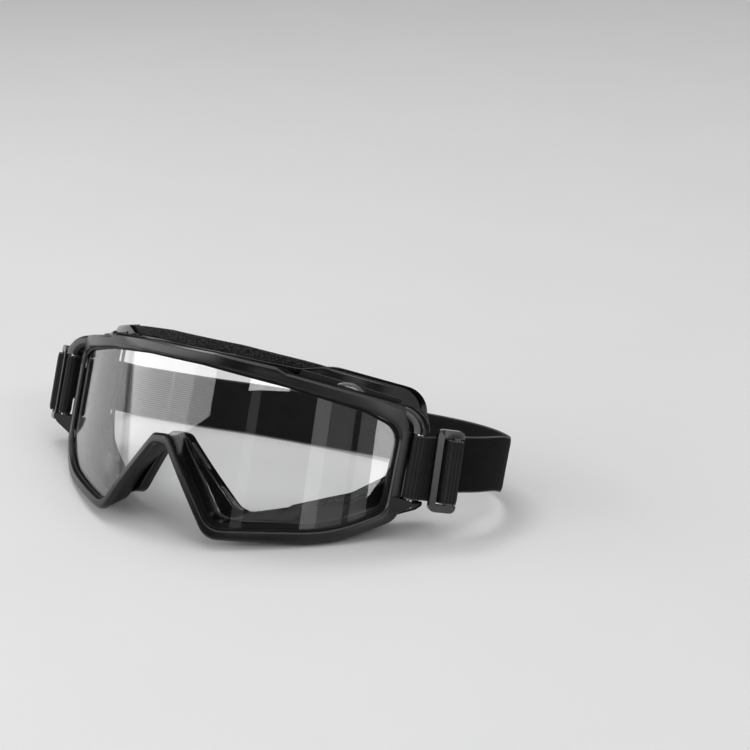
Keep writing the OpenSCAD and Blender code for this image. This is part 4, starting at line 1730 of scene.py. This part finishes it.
@dataclass(frozen=True)
class Panel:
    """Soft light panel that faces the goggles, or a dark card where its light is zero."""

    name: str
    centre: tuple[float, float, float]
    width: float
    height: float
    light: float
    upright: bool = True
    roll: float = 0.0

    @classmethod
    def seen(cls, name: str, start: float, stop: float, low: float, high: float, distance: float,
             light: float, roll: float = 0.0) -> "Panel":
        """Upright panel that fills a range of directions as seen from the goggles.

        Args:
            name: its name.
            start: direction of its left side, in degrees from +X.
            stop: direction of its right side.
            low: elevation of its lower edge.
            high: elevation of its upper edge.
            distance: distance of its middle.
            light: radiance, none for a dark card.
            roll: turn about the direction to the goggles, in degrees.

        Returns:
            The panel.
        """
        middle, half = np.radians((start + stop) / 2), np.radians((stop - start) / 2)
        bottom, top = distance * np.tan(np.radians((low, high))) + 0.05
        centre = (distance * np.cos(middle), distance * np.sin(middle), (bottom + top) / 2)
        return cls(name, centre, 2 * distance * np.tan(half), top - bottom, light, True, roll)

    def hang(self) -> None:
        """Hangs the panel in its place, turned to the goggles."""
        obj = self._lamp() if self.light > 0 else self._card()
        bpy.context.scene.collection.objects.link(obj)
        centre = np.array(self.centre)
        away = centre - (0, 0, centre[2] if self.upright else 0.04)
        away /= np.linalg.norm(away)
        right = np.cross((0, 0, 1.0), away)
        right /= np.linalg.norm(right)
        up = np.cross(away, right)
        c, s = np.cos(np.radians(self.roll)), np.sin(np.radians(self.roll))
        matrix = np.eye(4)
        matrix[:3] = np.stack((right * c + up * s, up * c - right * s, away, centre), -1)
        obj.matrix_world = Matrix(matrix.tolist())

    def _lamp(self) -> bpy.types.Object:
        """Area lamp of the panel's size, unseen by the camera."""
        lamp = bpy.data.lights.new(self.name, "AREA")
        lamp.shape, lamp.size, lamp.size_y = "RECTANGLE", self.width, self.height
        lamp.energy = self.light * np.pi * self.width * self.height
        obj = bpy.data.objects.new(self.name, lamp)
        obj.visible_camera = False
        return obj

    def _card(self) -> bpy.types.Object:
        """Dark sheet of the panel's size that shows only where it is mirrored or looked through to."""
        mesh = rectangle(self.name, self.width, self.height)
        material, _, shader = new_material(self.name)
        shader.inputs["Base Color"].default_value = opaque((0.02, 0.02, 0.021))
        shader.inputs["Roughness"].default_value = 1.0
        mesh.materials.append(material)
        obj = bpy.data.objects.new(self.name, mesh)
        obj.visible_camera = obj.visible_diffuse = obj.visible_shadow = False
        return obj


@dataclass
class Studio:
    """Pale floor, soft panels, white surroundings and the camera."""

    floor_size: float = 14.0
    floor_colour: Colour = (0.8, 0.8, 0.8)
    surround: float = 0.35
    camera_place: tuple[float, float, float] = (0.51392, -0.70620, 0.37737)
    camera_down: float = 20.34
    camera_turn: float = 31.88
    camera_lens: float = 96.19
    camera_sensor: float = 36.0
    panels: tuple[Panel, ...] = (
        Panel.seen("front_left_panel", -180, -124, 1, 32, 1.3, 2.4),
        Panel.seen("front_panel", -126, -92, 12.6, 33, 1.25, 2.4, 9.0),
        Panel("top_panel", (0.1, 0.25, 2.0), 1.8, 1.8, 0.9, False),
        Panel.seen("edge_panel", 125, 178, 54, 65, 1.7, 7.0),
        Panel.seen("side_panel", -28, -13, 31, 42, 1.6, 8.0),
        Panel.seen("bar_panel", -65, -51.5, 13.2, 14.7, 2.2, 5.0, -9.5),
        Panel.seen("first_strip", -62.5, -58.5, 0, 22, 2.3, 0.3),
        Panel.seen("second_strip", -44.8, -41.2, 0, 20, 2.25, 0.95),
        Panel.seen("third_strip", -41.2, -35.2, 0, 20, 2.25, 0.4),
        Panel.seen("corner_panel", -29.8, -24, 2.6, 22, 2.2, 4.5),
        Panel.seen("fourth_strip", -33.7, -29.8, 0, 20, 2.25, 0.5),
        Panel.seen("front_card", -108, -18, -1, 48, 2.7, 0.0),
        Panel.seen("rear_card", 30, 165, -1, 50, 2.6, 0.0))

    def build(self) -> None:
        """Builds floor, light and camera."""
        self._floor()
        for panel in self.panels:
            panel.hang()
        self._world()
        self._camera()

    def _floor(self) -> None:
        """Large pale floor with a faint unevenness."""
        mesh = rectangle("floor", self.floor_size, self.floor_size)
        floor = bpy.data.objects.new(mesh.name, mesh)
        bpy.context.scene.collection.objects.link(floor)
        material, nodes, shader = new_material("pale_floor")
        where = nodes.add("TexCoord").outputs["Object"]
        patch = nodes.ramp(nodes.noise(where, 9.0, 3.0), 0.3, 0.7)
        dull = opaque(tuple(c * 0.985 for c in self.floor_colour))
        nodes.feed(shader.inputs["Base Color"], nodes.blend(patch, dull, opaque(self.floor_colour)))
        shader.inputs["Roughness"].default_value = 0.75
        mesh.materials.append(material)

    def _world(self) -> None:
        """Soft grey surroundings that show as white where they are seen, mirrored or looked through to."""
        world = bpy.data.worlds.new("surroundings")
        world.use_nodes = True
        bpy.context.scene.world = world
        nodes = Nodes(world.node_tree)
        background = world.node_tree.nodes["Background"]
        path = nodes.add("LightPath")
        seen = nodes.maths("MAXIMUM", path.outputs["Is Camera Ray"],
                           nodes.maths("MAXIMUM", path.outputs["Is Glossy Ray"],
                                       path.outputs["Is Transmission Ray"]))
        background.inputs["Color"].default_value = opaque((1.0, 1.0, 1.0))
        nodes.feed(background.inputs["Strength"], nodes.ramp(seen, 0.0, 1.0, self.surround, 1.0))

    def _camera(self) -> None:
        """Camera at the photograph's viewing angle."""
        camera = bpy.data.objects.new("camera", bpy.data.cameras.new("camera"))
        bpy.context.scene.collection.objects.link(camera)
        camera.location = self.camera_place
        camera.rotation_euler = np.radians((90 - self.camera_down, 0, self.camera_turn)).tolist()
        camera.data.sensor_width, camera.data.lens = self.camera_sensor, self.camera_lens
        camera.data.clip_start = 0.01
        bpy.context.scene.camera = camera


def main() -> None:
    """Builds every sub-assembly in order and reports its pieces."""
    logging.basicConfig(level=logging.INFO, format="%(name)s: %(message)s")
    bpy.context.scene.view_settings.view_transform = "Standard"
    front, wardrobe = Front(), Wardrobe()
    LensUnit(front, wardrobe).build()
    Carrier(front, wardrobe).build()
    FaceSide(front, wardrobe).build()
    ends = []
    for side, tilt in ((Side.RIGHT, 2.5), (Side.LEFT, -2.5)):
        anchor = Anchor(front, wardrobe, side)
        anchor.build()
        ends.append(StrapEnd(anchor, tilt))
        ends[-1].build()
    Headband(ends[0], ends[1], wardrobe).build()
    Studio().build()
    bpy.context.view_layer.update()


if __name__ == "__main__":
    main()
